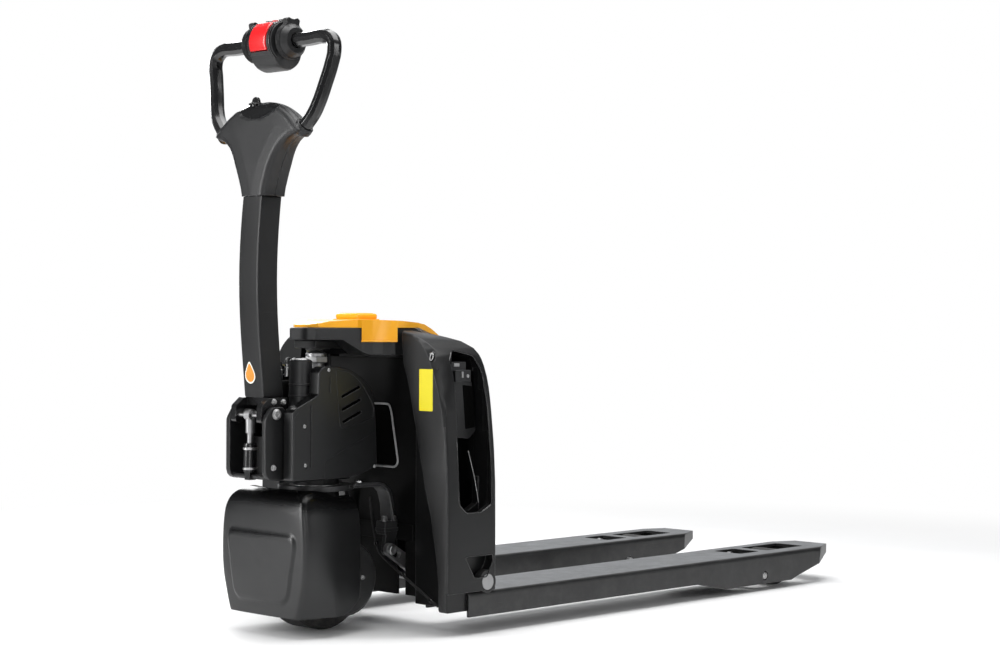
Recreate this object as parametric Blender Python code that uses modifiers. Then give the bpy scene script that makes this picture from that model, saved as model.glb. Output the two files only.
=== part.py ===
"""Walk-behind electric pallet jack, built as separate pieces in metres, +Z up.

The forks point along +X and the operator stands at -X. Left is +Y. The floor is
z = 0 and the origin is on the floor, under the middle of the overall length and
width. Comments say "operator side" for -X and "fork side" for +X.

Cuts and unions stay as live modifiers. A shape made without a material is a
helper for them: it is hidden from renders and kept in its own collection.
"""

import math

import bmesh
import bpy
from mathutils import Matrix, Vector

# ------------------------------------------------------- shared dimensions
# Points written as pairs are (x, z).
HALF_LENGTH = 0.775
HALF_WIDTH = 0.280
HEEL_X = -0.375          # fork-side face of the frame
GAP = 0.0003             # clearance between pieces that meet

FORK_IN = 0.122          # y of the inner edge of a fork
FORK_MID = 0.198         # y of the middle of the load wheel
FORK_TOP = 0.081

AXIS_X = -0.598          # upright steering axis, over the drive wheel
DRIVE_WHEEL_R = 0.105
DRIVE_AXLE = (AXIS_X, DRIVE_WHEEL_R)

ROCKER = (-0.398, 0.098)
ROCKER_LUG_R = 0.040
ROCKER_ARM_REST = math.radians(32.7)
ROCKER_LUG_REST = math.radians(32.95)
YOKE_PIN = (-0.479, 0.150)

BOGIE = (0.491, 0.033)
BOGIE_ARM = 0.1125
BOGIE_LUG_R = 0.0409
BOGIE_LUG_REST = math.radians(32.1)
LOAD_R = 0.040
LOAD_AXLE = (BOGIE[0] + math.sqrt(BOGIE_ARM**2 - (LOAD_R - BOGIE[1]) ** 2), LOAD_R)

TILLER_PIVOT = Vector((-0.7465, 0.0, 0.425))
SPRING_LOW = (-0.7620, 0.306)
SPRING_TOP = (-0.7640, 0.4220)
HEAD = Vector((-0.708, 0.0, 1.135))
LOOP_R = 0.014

# ------------------------------------------------------------ empty the scene
for old in list(bpy.data.objects):
    bpy.data.objects.remove(old, do_unlink=True)
for old in list(bpy.data.collections):
    bpy.data.collections.remove(old)

PARTS = bpy.data.collections.new("pallet_jack")
CUTTERS = bpy.data.collections.new("cutters")
bpy.context.scene.collection.children.link(PARTS)
bpy.context.scene.collection.children.link(CUTTERS)


# ------------------------------------------------------------------ materials
def material(name, colour, roughness, metallic=0.0):
    mat = bpy.data.materials.new(name)
    mat.use_nodes = True
    shader = mat.node_tree.nodes["Principled BSDF"]
    shader.inputs["Base Color"].default_value = (*colour, 1.0)
    shader.inputs["Roughness"].default_value = roughness
    shader.inputs["Metallic"].default_value = metallic
    return mat


BLACK = material(
    "black_powder_coat", colour=(0.022, 0.022, 0.023), roughness=0.48, metallic=0.2)
SHELL = material("charcoal_plastic", colour=(0.030, 0.030, 0.032), roughness=0.55)
GLOSS = material("gloss_black", colour=(0.010, 0.010, 0.011), roughness=0.22)
ORANGE = material("orange_plastic", colour=(0.86, 0.36, 0.02), roughness=0.42)
RED = material("red_plastic", colour=(0.75, 0.02, 0.02), roughness=0.35)
STEEL = material("zinc_steel", colour=(0.62, 0.62, 0.62), roughness=0.28, metallic=1.0)
RUBBER = material("polyurethane", colour=(0.020, 0.020, 0.020), roughness=0.70)
CAST = material("cast_housing", colour=(0.028, 0.028, 0.030), roughness=0.50, metallic=0.5)


# ------------------------------------------------------- objects and modifiers
def link(name, data, helper):
    obj = bpy.data.objects.new(name, data)
    (CUTTERS if helper else PARTS).objects.link(obj)
    obj.hide_render = helper
    return obj


def place(name, mesh, mat):
    """Add a mesh as a piece, or as a helper if it has no material."""
    obj = link(name, mesh, helper=mat is None)
    if mat is None:
        obj.display_type = "WIRE"
    else:
        mesh.materials.clear()
        mesh.materials.append(mat)
    return obj


def from_bmesh(name, bm, mat):
    bmesh.ops.recalc_face_normals(bm, faces=bm.faces)
    mesh = bpy.data.meshes.new(name)
    bm.to_mesh(mesh)
    bm.free()
    return place(name, mesh, mat)


def to_mesh(obj):
    """Swap a curve, or an object with modifiers, for the mesh it evaluates to."""
    bpy.context.view_layer.update()
    graph = bpy.context.evaluated_depsgraph_get()
    mesh = bpy.data.meshes.new_from_object(obj.evaluated_get(graph))
    mesh.transform(obj.matrix_world)
    bm = bmesh.new()
    bm.from_mesh(mesh)
    bmesh.ops.remove_doubles(bm, verts=bm.verts, dist=1e-5)
    bmesh.ops.recalc_face_normals(bm, faces=bm.faces)
    bm.to_mesh(mesh)
    bm.free()
    name = obj.name
    mats = list(mesh.materials)
    bpy.data.objects.remove(obj, do_unlink=True)
    return place(name, mesh, mats[0] if mats else None)


def bevel(obj, width, segments):
    mod = obj.modifiers.new("Bevel", "BEVEL")
    mod.width = width
    mod.segments = segments
    mod.limit_method = "ANGLE"
    mod.angle_limit = math.radians(30)


def cut(obj, cutter, operation="DIFFERENCE"):
    mod = obj.modifiers.new("Boolean", "BOOLEAN")
    mod.operation = operation
    mod.solver = "EXACT"
    mod.object = cutter


def fuse(obj, other):
    cut(obj, other, "UNION")


def smooth(obj):
    for face in obj.data.polygons:
        face.use_smooth = True
    return obj


def set_origin(obj, point):
    point = Vector(point)
    obj.data.transform(Matrix.Translation(-point))
    obj.location = point


def mirrored(name, side):
    return name + ("_right" if side < 0 else "_left")


# ----------------------------------------------------------- ranges, outlines
def even(half):
    """A range centred on zero."""
    return (-half, half)


def across(side, near, far):
    """A y range on one side, given as distances from the centre plane."""
    return (side * near, side * far)


CUT_FULL = even(0.3)     # y range past both sides of the jack
CUT_BODY = even(0.2)     # y range past the housing and the handle


def rectangle(u_range, v_range):
    (u0, u1), (v0, v1) = sorted(u_range), sorted(v_range)
    return [(u0, v0), (u1, v0), (u1, v1), (u0, v1)]


def rounded(corners, radius=None, steps=4):
    """Round a closed outline. With no common radius, each corner is (u, v, radius)."""
    out = []
    points = [Vector(corner[:2]) for corner in corners]
    for i, point in enumerate(points):
        r = corners[i][2] if radius is None else radius
        if r <= 0:
            out.append(tuple(point))
            continue
        before = points[i - 1] - point
        after = points[(i + 1) % len(points)] - point
        u, v = before.normalized(), after.normalized()
        half = math.acos(max(-1.0, min(1.0, u.dot(v)))) / 2
        back = min(r / math.tan(half), 0.49 * before.length, 0.49 * after.length)
        r = back * math.tan(half)
        centre = point + (u + v).normalized() * (r / math.sin(half))
        first, last = point + u * back - centre, point + v * back - centre
        start, end = math.atan2(first.y, first.x), math.atan2(last.y, last.x)
        sweep = (end - start + math.pi) % (2 * math.pi) - math.pi
        for k in range(steps + 1):
            a = start + sweep * k / steps
            out.append((centre.x + r * math.cos(a), centre.y + r * math.sin(a)))
    return out


def both_sides(half, flip_u=1, flip_v=1):
    """Join (u, v, radius) corners to their mirror image."""
    return half + [(flip_u * u, flip_v * v, r) for u, v, r in reversed(half)]


def both_ends(half):
    """Join (radius, distance from middle) points into a profile with two like ends."""
    return [(r, -z) for r, z in half] + [(r, z) for r, z in reversed(half)]


def link_outline(start, start_r, end, end_r, steps=6):
    """Outline of a plate with a round end about each of two points."""
    along = math.atan2(end[1] - start[1], end[0] - start[0])
    out = []
    for (x, z), r, turn in ((start, start_r, math.pi / 2), (end, end_r, -math.pi / 2)):
        for k in range(steps + 1):
            a = along + turn + math.pi * k / steps
            out.append((x + r * math.cos(a), z + r * math.sin(a)))
    return out


# --------------------------------------------------------------------- solids
def block(name, x_range, y_range, z_range, mat=None, round_by=0.0, segments=2):
    low, high = (
        Vector(c) for c in zip(sorted(x_range), sorted(y_range), sorted(z_range)))
    bm = bmesh.new()
    bmesh.ops.create_cube(bm, size=1.0)
    bmesh.ops.scale(bm, vec=high - low, verts=bm.verts)
    bmesh.ops.translate(bm, vec=(low + high) / 2, verts=bm.verts)
    obj = from_bmesh(name, bm, mat)
    if round_by:
        bevel(obj, round_by, segments)
    return obj


def rod(name, start, end, radius, mat=None, sides=24):
    start, end = Vector(start), Vector(end)
    along = end - start
    bm = bmesh.new()
    bmesh.ops.create_cone(
        bm, cap_ends=True, segments=sides, radius1=radius, radius2=radius,
        depth=along.length)
    turn = along.to_track_quat("Z", "Y").to_matrix().to_4x4()
    bmesh.ops.transform(
        bm, matrix=Matrix.Translation((start + end) / 2) @ turn, verts=bm.verts)
    return from_bmesh(name, bm, mat)


def y_rod(name, centre, y_range, radius, mat=None, sides=24):
    """A rod along Y through an (x, z) centre, from the first y to the second."""
    x, z = centre
    return rod(name, (x, y_range[0], z), (x, y_range[1], z), radius, mat, sides)


PLANE = {
    "X": Matrix(((0, 0, 1), (1, 0, 0), (0, 1, 0))).to_4x4(),
    "Y": Matrix(((1, 0, 0), (0, 0, -1), (0, 1, 0))).to_4x4(),
    "Z": Matrix.Identity(4),
}


def prism(name, outline, axis, span, mat=None, edge=0.0):
    """A flat outline, extruded over a span of an axis, with its rims rounded by
    edge. The outline is (x, y) for Z, (x, z) for Y and (y, z) for X."""
    low, high = sorted(span)
    curve = bpy.data.curves.new(name, "CURVE")
    curve.dimensions = "2D"
    curve.fill_mode = "BOTH"
    curve.extrude = (high - low) / 2 - edge
    if edge:
        curve.bevel_depth = edge
        curve.bevel_resolution = 1
        curve.offset = -edge
    clean = [p for i, p in enumerate(outline) if math.dist(p, outline[i - 1]) > 2e-5]
    area = sum(a[0] * b[1] - b[0] * a[1] for a, b in zip(clean, clean[1:] + clean[:1]))
    if area < 0:
        clean.reverse()
    spline = curve.splines.new("POLY")
    spline.points.add(len(clean) - 1)
    for point, (u, v) in zip(spline.points, clean):
        point.co = (u, v, 0.0, 1.0)
    spline.use_cyclic_u = True
    if mat is not None:
        curve.materials.append(mat)
    obj = link(name, curve, helper=mat is None)
    middle = (low + high) / 2
    shift = {"X": (middle, 0, 0), "Y": (0, middle, 0), "Z": (0, 0, middle)}[axis]
    obj.matrix_world = Matrix.Translation(shift) @ PLANE[axis]
    return to_mesh(obj)


def turned(name, profile, centre, axis, mat=None, steps=32):
    """Turn a closed (radius, along) profile about an axis through centre."""
    mesh = bpy.data.meshes.new(name)
    verts = [(r, 0.0, z) for r, z in profile]
    edges = [(i, (i + 1) % len(verts)) for i in range(len(verts))]
    if profile[0][0] < 1e-6 and profile[-1][0] < 1e-6:
        edges.pop()
    mesh.from_pydata(verts, edges, [])
    obj = place(name, mesh, mat)
    screw = obj.modifiers.new("Screw", "SCREW")
    screw.steps = screw.render_steps = steps
    screw.use_merge_vertices = True
    screw.merge_threshold = 0.00005
    way = Vector({"Y": (0, 1, 0), "Z": (0, 0, 1)}[axis])
    turn = way.to_track_quat("Z", "Y").to_matrix().to_4x4()
    obj.matrix_world = Matrix.Translation(centre) @ turn
    return smooth(to_mesh(obj))


# ---------------------------------------------------------------------- forks
FORK_START = -0.4510
FORK_PLATE = 0.006
FORK_BOTTOM = 0.034
FORK_CORNER_R = 0.009
BELLY_Z = 0.015
NOSE_START = 0.699
NOSE_TAPER = 0.035
OPENING_Y = (0.160, 0.236)
OPENING_R = 0.006
# x ranges of the two openings in the top plate
FORK_WINDOW_X = (0.556, 0.695)
FORK_SLOT_X = (0.4555, 0.528)
# (x, z) of the space cut away below a fork
FORK_UNDER = [
    (-0.5, FORK_BOTTOM), (0.250, FORK_BOTTOM), (0.345, BELLY_Z), (0.590, BELLY_Z),
    (0.612, 0.022), (0.700, 0.044), (HALF_LENGTH, 0.061), (0.80, 0.061),
    (0.80, -0.05), (-0.5, -0.05),
]
NOSE_TOP = [(0.760, 0.090), (0.790, 0.090), (0.790, 0.070)]


def fork(side):
    """A pressed channel, open below, with a deeper belly round the load wheel
    and a tapered nose."""
    name = mirrored("fork", side)
    section = rounded([
        (FORK_IN, 0.0, 0), (HALF_WIDTH, 0.0, 0),
        (HALF_WIDTH, FORK_TOP, FORK_CORNER_R), (FORK_IN, FORK_TOP, FORK_CORNER_R),
    ])
    section = [(side * y, z) for y, z in section]
    body = prism(name, section, "X", (FORK_START, HALF_LENGTH), BLACK)
    cut(body, prism(name + "_under", FORK_UNDER, "Y", CUT_FULL))
    for k, (edge, away) in enumerate(((HALF_WIDTH, 1), (FORK_IN, -1))):
        tip = edge - away * NOSE_TAPER
        beyond = edge + away * 0.05
        wedge = [
            (NOSE_START, side * edge), (HALF_LENGTH + 0.001, side * tip),
            (0.80, side * tip), (0.80, side * beyond), (NOSE_START, side * beyond),
        ]
        cut(body, prism(f"{name}_nose_{k}", wedge, "Z", (-0.02, 0.12)))
    cut(body, prism(name + "_nose_top", NOSE_TOP, "Y", CUT_FULL))

    inside = across(side, FORK_IN + FORK_PLATE, HALF_WIDTH - FORK_PLATE)
    under_top = (-0.1, FORK_TOP - FORK_PLATE)
    cut(body, block(name + "_inside", (-0.5, 0.700), inside, under_top))
    # Clear the side arm, the wall between the arms and the rocker lug.
    cut(body, block(name + "_heel", (-0.5, HEEL_X), inside, (0.05, 0.2)))
    inner = across(side, 0.100, 0.200)
    cut(body, block(name + "_inner_end", (-0.5, -0.415), inner, (-0.1, 0.2)))
    notch = across(side, 0.1775, 0.1915)
    cut(body, block(name + "_lug_notch", (-0.378, -0.3675), notch, (0.066, 0.1)))
    for suffix, x_range in (("_window", FORK_WINDOW_X), ("_slot", FORK_SLOT_X)):
        opening = rectangle(x_range, across(side, *OPENING_Y))
        cut(body, prism(name + suffix, rounded(opening, OPENING_R, 2), "Z", (0.05, 0.1)))
    cut(body, y_rod(name + "_pin_hole", BOGIE, across(side, 0.1, 0.3), 0.0105))


# ------------------------------------------------------------------ side arms
ARM_FRONT = -0.508       # operator-side face
ARM_IN = 0.1293
ARM_FOOT_Z = 0.046
ARM_EDGE_R = 0.006
# (y, z) up the narrow foot, which stands inside the fork
ARM_FOOT = [(0.2735, ARM_FOOT_Z), (0.2735, 0.0818)]
# (y, z) stations up the outer edge and over the round shoulder
ARM_STATIONS = [
    (0.2795, 0.0818), (0.2795, 0.200), (0.2785, 0.290), (0.2750, 0.352),
    (0.2700, 0.400), (0.2635, 0.452), (0.2540, 0.496), (0.2350, 0.5370),
    (0.2080, 0.5630), (0.1750, 0.5780), (ARM_IN, 0.5885),
]
ARM_CURVE_FROM = 3       # first station with a point added after it
# (x, z) of the space above and on the fork side of the shoulder
ARM_BACK = [
    (-0.370, 0.500), (-0.3765, 0.528), (-0.385, 0.5500), (-0.404, 0.5640),
    (-0.440, 0.5745), (-0.509, 0.5900), (-0.509, 0.62), (-0.36, 0.62), (-0.36, 0.50),
]
# (y, z) of the recess in the operator side, next to the centre
ARM_RECESS = [
    (0.100, 0.62), (0.149, 0.62), (0.150, 0.556), (0.1545, 0.522), (0.1693, 0.479),
    (0.1929, 0.385), (0.2164, 0.281), (0.2318, 0.230), (0.2474, 0.153),
    (0.2545, 0.100), (0.2545, 0.0), (0.100, 0.0),
]
ARM_HOLLOW_X = (-0.500, -0.386)
# (y range, z range) of the stepped hollow under the outer skin
ARM_HOLLOWS = [
    ((0.240, 0.2655), (0.205, 0.301)), ((0.2225, 0.2655), (0.300, 0.390)),
    ((0.2225, 0.2530), (0.389, 0.470)), ((0.2225, 0.2400), (0.469, 0.512)),
]
# (x, z) outlines of the inner hollow and of the openings in the outer skin
ARM_HOLLOW_IN = [
    (-0.444, 0.105), (-0.385, 0.105), (-0.385, 0.500), (-0.395, 0.535), (-0.444, 0.548),
]
ARM_WINDOW = [
    (-0.4409, 0.5460), (-0.3990, 0.5360), (-0.3890, 0.5060), (-0.3885, 0.4366),
    (-0.3880, 0.3310), (-0.3885, 0.2480), (-0.4163, 0.2345), (-0.4580, 0.2345),
    (-0.4776, 0.2519), (-0.4790, 0.3612), (-0.4680, 0.5260), (-0.4540, 0.5420),
]
ARM_LOW_WINDOW = [
    (-0.462, 0.151), (-0.384, 0.151), (-0.384, 0.138), (-0.402, 0.108), (-0.436, 0.108),
]


def arm_outline():
    """(y, z) up the outer edge, with points added along the curved upper part."""
    points = ARM_STATIONS
    curved = [points[0]]
    for k in range(1, len(points) - 2):
        before, here, after, beyond = points[k - 1:k + 3]
        curved.append(here)
        if k >= ARM_CURVE_FROM:
            curved.append(tuple(
                (9 * (here[i] + after[i]) - before[i] - beyond[i]) / 16 for i in (0, 1)))
    return ARM_FOOT + curved + points[-2:]


def shoulder_cutter(side):
    """A three-sided bar along the operator-side rim of the arm. It bevels the
    edge, most at the shoulder."""
    rim_width = 0.0045
    swell_along, swell_deep = 0.0165, 0.0085
    overshoot = 0.6      # how far the bar stands out past the bevel, as a share of it
    points = [p for p in arm_outline() if p[1] > 0.38]
    last = len(points) - 1
    bm = bmesh.new()
    rows = []
    for k, point in enumerate(points):
        before, after = points[max(k - 1, 0)], points[min(k + 1, last)]
        way = Vector((after[0] - before[0], after[1] - before[1])).normalized()
        inward = Vector((-way.y, way.x))
        swell = math.sin(math.pi * min(1.0, k / last * 1.15)) ** 2
        along = rim_width + swell_along * swell
        deep = rim_width + swell_deep * swell
        wall = Vector(point)
        if k == last:
            wall += way * 0.02
        face = wall + inward * deep
        near_x = ARM_FRONT - along * overshoot
        far_x = ARM_FRONT + along * (1 + overshoot)
        inner = face + (face - wall) * overshoot
        outer = wall + (wall - face) * overshoot
        rows.append([
            bm.verts.new((near_x, side * inner.x, inner.y)),
            bm.verts.new((far_x, side * outer.x, outer.y)),
            bm.verts.new((near_x, side * outer.x, outer.y)),
        ])
    for low, high in zip(rows, rows[1:]):
        for k in range(3):
            j = (k + 1) % 3
            bm.faces.new((low[k], low[j], high[j], high[k]))
    bm.faces.new(rows[0])
    bm.faces.new(rows[-1])
    return from_bmesh(f"shoulder_bar_{side}", bm, None)


def side_arm(side):
    name = mirrored("side_arm", side)
    outline = [(side * y, z) for y, z in arm_outline() + [(ARM_IN, ARM_FOOT_Z)]]
    body = prism(name, outline, "X", (ARM_FRONT, HEEL_X - GAP), BLACK, edge=ARM_EDGE_R)
    cut(body, prism(name + "_back", ARM_BACK, "Y", CUT_FULL))
    recess = [(side * y, z) for y, z in ARM_RECESS]
    cut(body, prism(name + "_recess", recess, "X", (-0.6, -0.450)))
    for k, (y_range, z_range) in enumerate(ARM_HOLLOWS):
        hollow = across(side, *y_range)
        cut(body, block(f"{name}_hollow_{k}", ARM_HOLLOW_X, hollow, z_range))
    cut(body, prism(name + "_hollow_in", ARM_HOLLOW_IN, "Y", across(side, 0.150, 0.225)))
    cut(body, shoulder_cutter(side))
    window = rounded(ARM_WINDOW, 0.006, 2)
    cut(body, prism(name + "_window", window, "Y", across(side, 0.222, 0.30)))
    low = rounded(ARM_LOW_WINDOW, 0.005, 2)
    cut(body, prism(name + "_low_window", low, "Y", across(side, 0.2575, 0.30)))
    cut(body, y_rod(name + "_shaft_hole", ROCKER, across(side, 0.12, 0.30), 0.0166))
    way = across(side, 0.172, 0.226)
    cut(body, block(name + "_rod_way", (-0.449, -0.36), way, (0.0, 0.112)))


# ------------------------------------------------------ frame between the arms
PANEL_Y = even(0.1287)
HOUSING_TOP = 0.589
CROSSHEAD_TOP = 0.565
# (x, y, corner radius) from the nose, over the plunger, to the wide fork side
HOUSING_HALF = [
    (-0.646, 0.0240, 0.014), (-0.6330, 0.0385, 0.012), (-0.5520, 0.0820, 0.02),
    (-0.5385, 0.1000, 0.02), (-0.5260, 0.1145, 0.02), (-0.5130, 0.1245, 0.008),
    (-0.5050, 0.1280, 0.004), (-0.400, 0.1280, 0.004),
]
# (x, z) outlines cut from below and from above
HOUSING_UNDER = [
    (-0.66, 0.52), (-0.66, 0.5655), (-0.585, 0.5655), (-0.560, 0.548),
    (-0.5420, 0.536), (-0.5420, 0.52),
]
HOUSING_SLOPE = [
    (-0.47, 0.60), (-0.455, HOUSING_TOP), (-0.395, 0.566), (-0.38, 0.56), (-0.38, 0.60),
]
BATTERY_SLOPE = [(-0.46, 0.60), (-0.45, 0.5885), (-0.38, 0.5605), (-0.37, 0.60)]


def front_wall():
    wall = block("front_wall", (-0.4495, -0.4435), PANEL_Y, (0.060, 0.530), BLACK)
    for side in (1, -1):
        slot = across(side, 0.076, 0.100)
        cut(wall, block(f"wall_slot_{side}", (-0.5, -0.4), slot, (0.04, 0.168)))


def heel_plate():
    block("heel_plate", (-0.3815, HEEL_X), PANEL_Y, (0.088, 0.556), BLACK, round_by=0.002)


def top_housing():
    """A wedge in plan, open below over the crosshead and through for the battery."""
    outline = rounded(both_sides(HOUSING_HALF, flip_v=-1))
    housing = prism("top_housing", outline, "Z", (0.536, HOUSING_TOP), SHELL, edge=0.003)
    cut(housing, prism("housing_under", HOUSING_UNDER, "Y", CUT_BODY))
    cut(housing, block("battery_way", (-0.4395, -0.3855), even(0.1165), (0.5, 0.7)))
    cut(housing, prism("housing_slope", HOUSING_SLOPE, "Y", CUT_BODY))
    cut(housing, block(
        "crosshead_way", (-0.6285, -0.452), even(0.0335), (0.53, CROSSHEAD_TOP + 0.0005)))


def crosshead():
    body = block(
        "crosshead", (-0.628, -0.4525), even(0.033), (0.5485, CROSSHEAD_TOP), BLACK,
        round_by=0.003)
    x = AXIS_X + 0.004
    fuse(body, rod("crosshead_boss", (x, 0, 0.5455), (x, 0, 0.556), 0.024))


def battery_case():
    battery = block(
        "battery_case", (-0.4385, -0.3865), even(0.1155), (0.300, 0.5905), SHELL,
        round_by=0.004)
    cut(battery, prism("battery_slope", BATTERY_SLOPE, "Y", CUT_BODY))


# ---------------------------------------------------------------- battery lid
LID_BASE = 0.5893
# (x, y, corner radius) from the nose to the fork side
LID_HALF = [
    (-0.6360, 0.0200, 0.012), (-0.6240, 0.0390, 0.012), (-0.5590, 0.0770, 0.002),
    (-0.5560, 0.0865, 0.004), (-0.5450, 0.1050, 0.02), (-0.5330, 0.1205, 0.02),
    (-0.5200, 0.1325, 0.02), (-0.5100, 0.1387, 0.004), (-0.4860, 0.1370, 0.02),
    (-0.4400, 0.1270, 0.0),
]
# (x, z) outlines that shape the top, and the strip that falls to the fork side
LID_SLOPE = [
    (-0.54, 0.65), (-0.54, 0.6048), (-0.490, 0.6025), (-0.430, 0.5985), (-0.43, 0.65),
]
LID_FRONT = [
    (-0.70, 0.65), (-0.70, 0.594), (-0.638, 0.5945), (-0.606, 0.6015),
    (-0.560, 0.6050), (-0.560, 0.65),
]
LID_FALL = [
    (-0.450, LID_BASE), (-0.441, LID_BASE), (-0.4050, 0.5765), (-0.3800, 0.5650),
    (-0.3800, 0.5705), (-0.4050, 0.5865), (-0.425, 0.5960), (-0.450, 0.6000),
]
# (x, y) round a flap: along its inner face, then back along its outer face
LID_FLAP = [
    (-0.5528, 0.0837), (-0.5414, 0.1020), (-0.5300, 0.1168), (-0.5180, 0.1282),
    (-0.5095, 0.1335),
    (-0.5095, 0.1387), (-0.5203, 0.1323), (-0.5330, 0.1205), (-0.5450, 0.1050),
    (-0.5562, 0.0863),
]


def battery_lid():
    """A cap over the housing, with two flaps that hang on the operator side of
    its shoulders."""
    outline = rounded(both_sides(LID_HALF, flip_v=-1), steps=3)
    lid = prism("battery_lid", outline, "Z", (LID_BASE, 0.6045), ORANGE)
    cut(lid, prism("lid_slope", LID_SLOPE, "Y", CUT_FULL))
    cut(lid, prism("lid_front", LID_FRONT, "Y", even(0.075)))
    fuse(lid, prism("lid_fall", LID_FALL, "Y", even(0.1265)))
    for side in (1, -1):
        flap = [(x, side * y) for x, y in LID_FLAP]
        fuse(lid, prism(f"lid_flap_{side}", flap, "Z", (0.5620, 0.6015)))


def battery_grip():
    grip = block(
        "battery_grip", (-0.520, -0.466), even(0.034), (0.6052, 0.6170), ORANGE,
        round_by=0.0045, segments=3)
    cut(grip, block("grip_hollow", (-0.5080, -0.44), even(0.020), (0.600, 0.6115)))


# ---------------------------------------------- rocker, rods and load wheels
LUG_Y = (0.1800, 0.1890)
LUG_PIN_Y = (0.184, 0.2045)
LUG_PIN_R = 0.004
ROCKER_LUG_TIP = (
    ROCKER[0] - ROCKER_LUG_R * math.sin(ROCKER_LUG_REST),
    ROCKER[1] - ROCKER_LUG_R * math.cos(ROCKER_LUG_REST),
)
BOGIE_LUG_TIP = (
    BOGIE[0] - BOGIE_LUG_R * math.sin(BOGIE_LUG_REST),
    BOGIE[1] + BOGIE_LUG_R * math.cos(BOGIE_LUG_REST),
)
# The eyes of a push rod sit half-way between the lug pin's height at rest and
# the end of its circle.
ROD_BACK_EYE = (
    ROCKER_LUG_TIP[0], ROCKER[1] - ROCKER_LUG_R * (1 + math.cos(ROCKER_LUG_REST)) / 2)
ROD_TIP_EYE = (
    BOGIE_LUG_TIP[0], BOGIE[1] + BOGIE_LUG_R * (1 + math.cos(BOGIE_LUG_REST)) / 2)
ROD_Y = 0.1960
ROD_TIP_Z = 0.0640
ROD_EYE_HALF_W = 0.0045
# y ranges of a bogie's two cheeks
BOGIE_CHEEKS = ((0.1530, 0.1590), (0.2370, 0.2430))
BOGIE_PIN_R = 0.0080
LOAD_HALF_W = 0.0355
LOAD_CHAMFER = 0.004


def rocker_arm_point(distance):
    """The (x, z) point that far along the rocker arm."""
    return (
        ROCKER[0] - distance * math.cos(ROCKER_ARM_REST),
        ROCKER[1] + distance * math.sin(ROCKER_ARM_REST),
    )


def rocker():
    """Cross shaft with two slotted arms for the yoke pins and two lugs for the rods."""
    hub_r, slot_r = 0.0150, 0.0082
    shaft = y_rod("rocker_shaft", ROCKER, even(0.2790), 0.0155, STEEL, 20)
    arm = link_outline(ROCKER, hub_r, rocker_arm_point(0.1000), 0.0125)
    slot = link_outline(rocker_arm_point(0.0790), slot_r, rocker_arm_point(0.0985), slot_r)
    lug = link_outline(ROCKER, hub_r, ROCKER_LUG_TIP, 0.009)
    for side in (1, -1):
        fuse(shaft, prism(f"rocker_arm_{side}", arm, "Y", across(side, 0.0832, 0.0932)))
        cut(shaft, prism(f"rocker_slot_{side}", slot, "Y", across(side, 0.0732, 0.1032)))
    for side in (1, -1):
        fuse(shaft, prism(f"rocker_lug_{side}", lug, "Y", across(side, *LUG_Y)))
        fuse(shaft, y_rod(
            f"rocker_lug_pin_{side}", ROCKER_LUG_TIP, across(side, *LUG_PIN_Y), LUG_PIN_R,
            sides=12))
    set_origin(shaft, (ROCKER[0], 0, ROCKER[1]))


def push_rod(side):
    name = mirrored("push_rod", side)
    y = side * ROD_Y
    body = rod(
        name, (ROD_BACK_EYE[0] + 0.008, y, ROD_BACK_EYE[1]),
        (ROD_TIP_EYE[0] - 0.0075, y, ROD_TIP_Z), 0.0055, STEEL, 12)
    eye_y = (y - ROD_EYE_HALF_W, y + ROD_EYE_HALF_W)
    bore_y = (eye_y[0] - 0.02, eye_y[1] + 0.02)
    for k, centre in enumerate((ROD_BACK_EYE, ROD_TIP_EYE)):
        fuse(body, y_rod(f"{name}_eye_{k}", centre, eye_y, 0.0107, sides=16))
        cut(body, y_rod(f"{name}_bore_{k}", centre, bore_y, 0.0078, sides=16))


def bogie(side):
    """Swinging carrier of a load wheel: two cheeks on a tube, and a lug above it."""
    name = mirrored("bogie", side)
    tube_y = across(side, BOGIE_CHEEKS[0][0], BOGIE_CHEEKS[1][1])
    body = y_rod(name, BOGIE, tube_y, 0.0135, CAST, 20)
    cheek = link_outline(BOGIE, 0.0150, LOAD_AXLE, 0.0150)
    for k, (near, far) in enumerate(BOGIE_CHEEKS):
        fuse(body, prism(f"{name}_cheek_{k}", cheek, "Y", across(side, near, far)))
        hole_y = sorted(across(side, near - 0.01, far + 0.01))
        cut(body, y_rod(f"{name}_axle_hole_{k}", LOAD_AXLE, hole_y, 0.0078, sides=16))
    lug = link_outline(BOGIE, 0.0120, BOGIE_LUG_TIP, 0.0085)
    fuse(body, prism(f"{name}_lug", lug, "Y", across(side, *LUG_Y)))
    fuse(body, y_rod(
        f"{name}_lug_pin", BOGIE_LUG_TIP, across(side, *LUG_PIN_Y), LUG_PIN_R, sides=12))
    bore_y = across(side, 0.12, 0.28)
    cut(body, y_rod(f"{name}_bore", BOGIE, bore_y, BOGIE_PIN_R + GAP, sides=20))
    set_origin(body, (BOGIE[0], side * FORK_MID, BOGIE[1]))


def bogie_pin(side):
    y_range = across(side, FORK_IN + 0.0015, HALF_WIDTH - 0.0015)
    y_rod(mirrored("bogie_pin", side), BOGIE, y_range, BOGIE_PIN_R, STEEL, 20)


def load_wheel(side):
    centre = (LOAD_AXLE[0], side * FORK_MID, LOAD_AXLE[1])
    profile = both_ends([
        (0.0080, LOAD_HALF_W), (LOAD_R - LOAD_CHAMFER, LOAD_HALF_W),
        (LOAD_R, LOAD_HALF_W - LOAD_CHAMFER),
    ])
    turned(mirrored("load_wheel", side), profile, centre, "Y", RUBBER, 28)
    axle_y = across(side, 0.1518, 0.2442)
    axle = y_rod(mirrored("load_axle", side), LOAD_AXLE, axle_y, 0.0075, STEEL, 16)
    set_origin(axle, centre)


# ------------------------------------------------ yoke that does not steer
YOKE_CENTRE = (AXIS_X, 0, 0.277)
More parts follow.
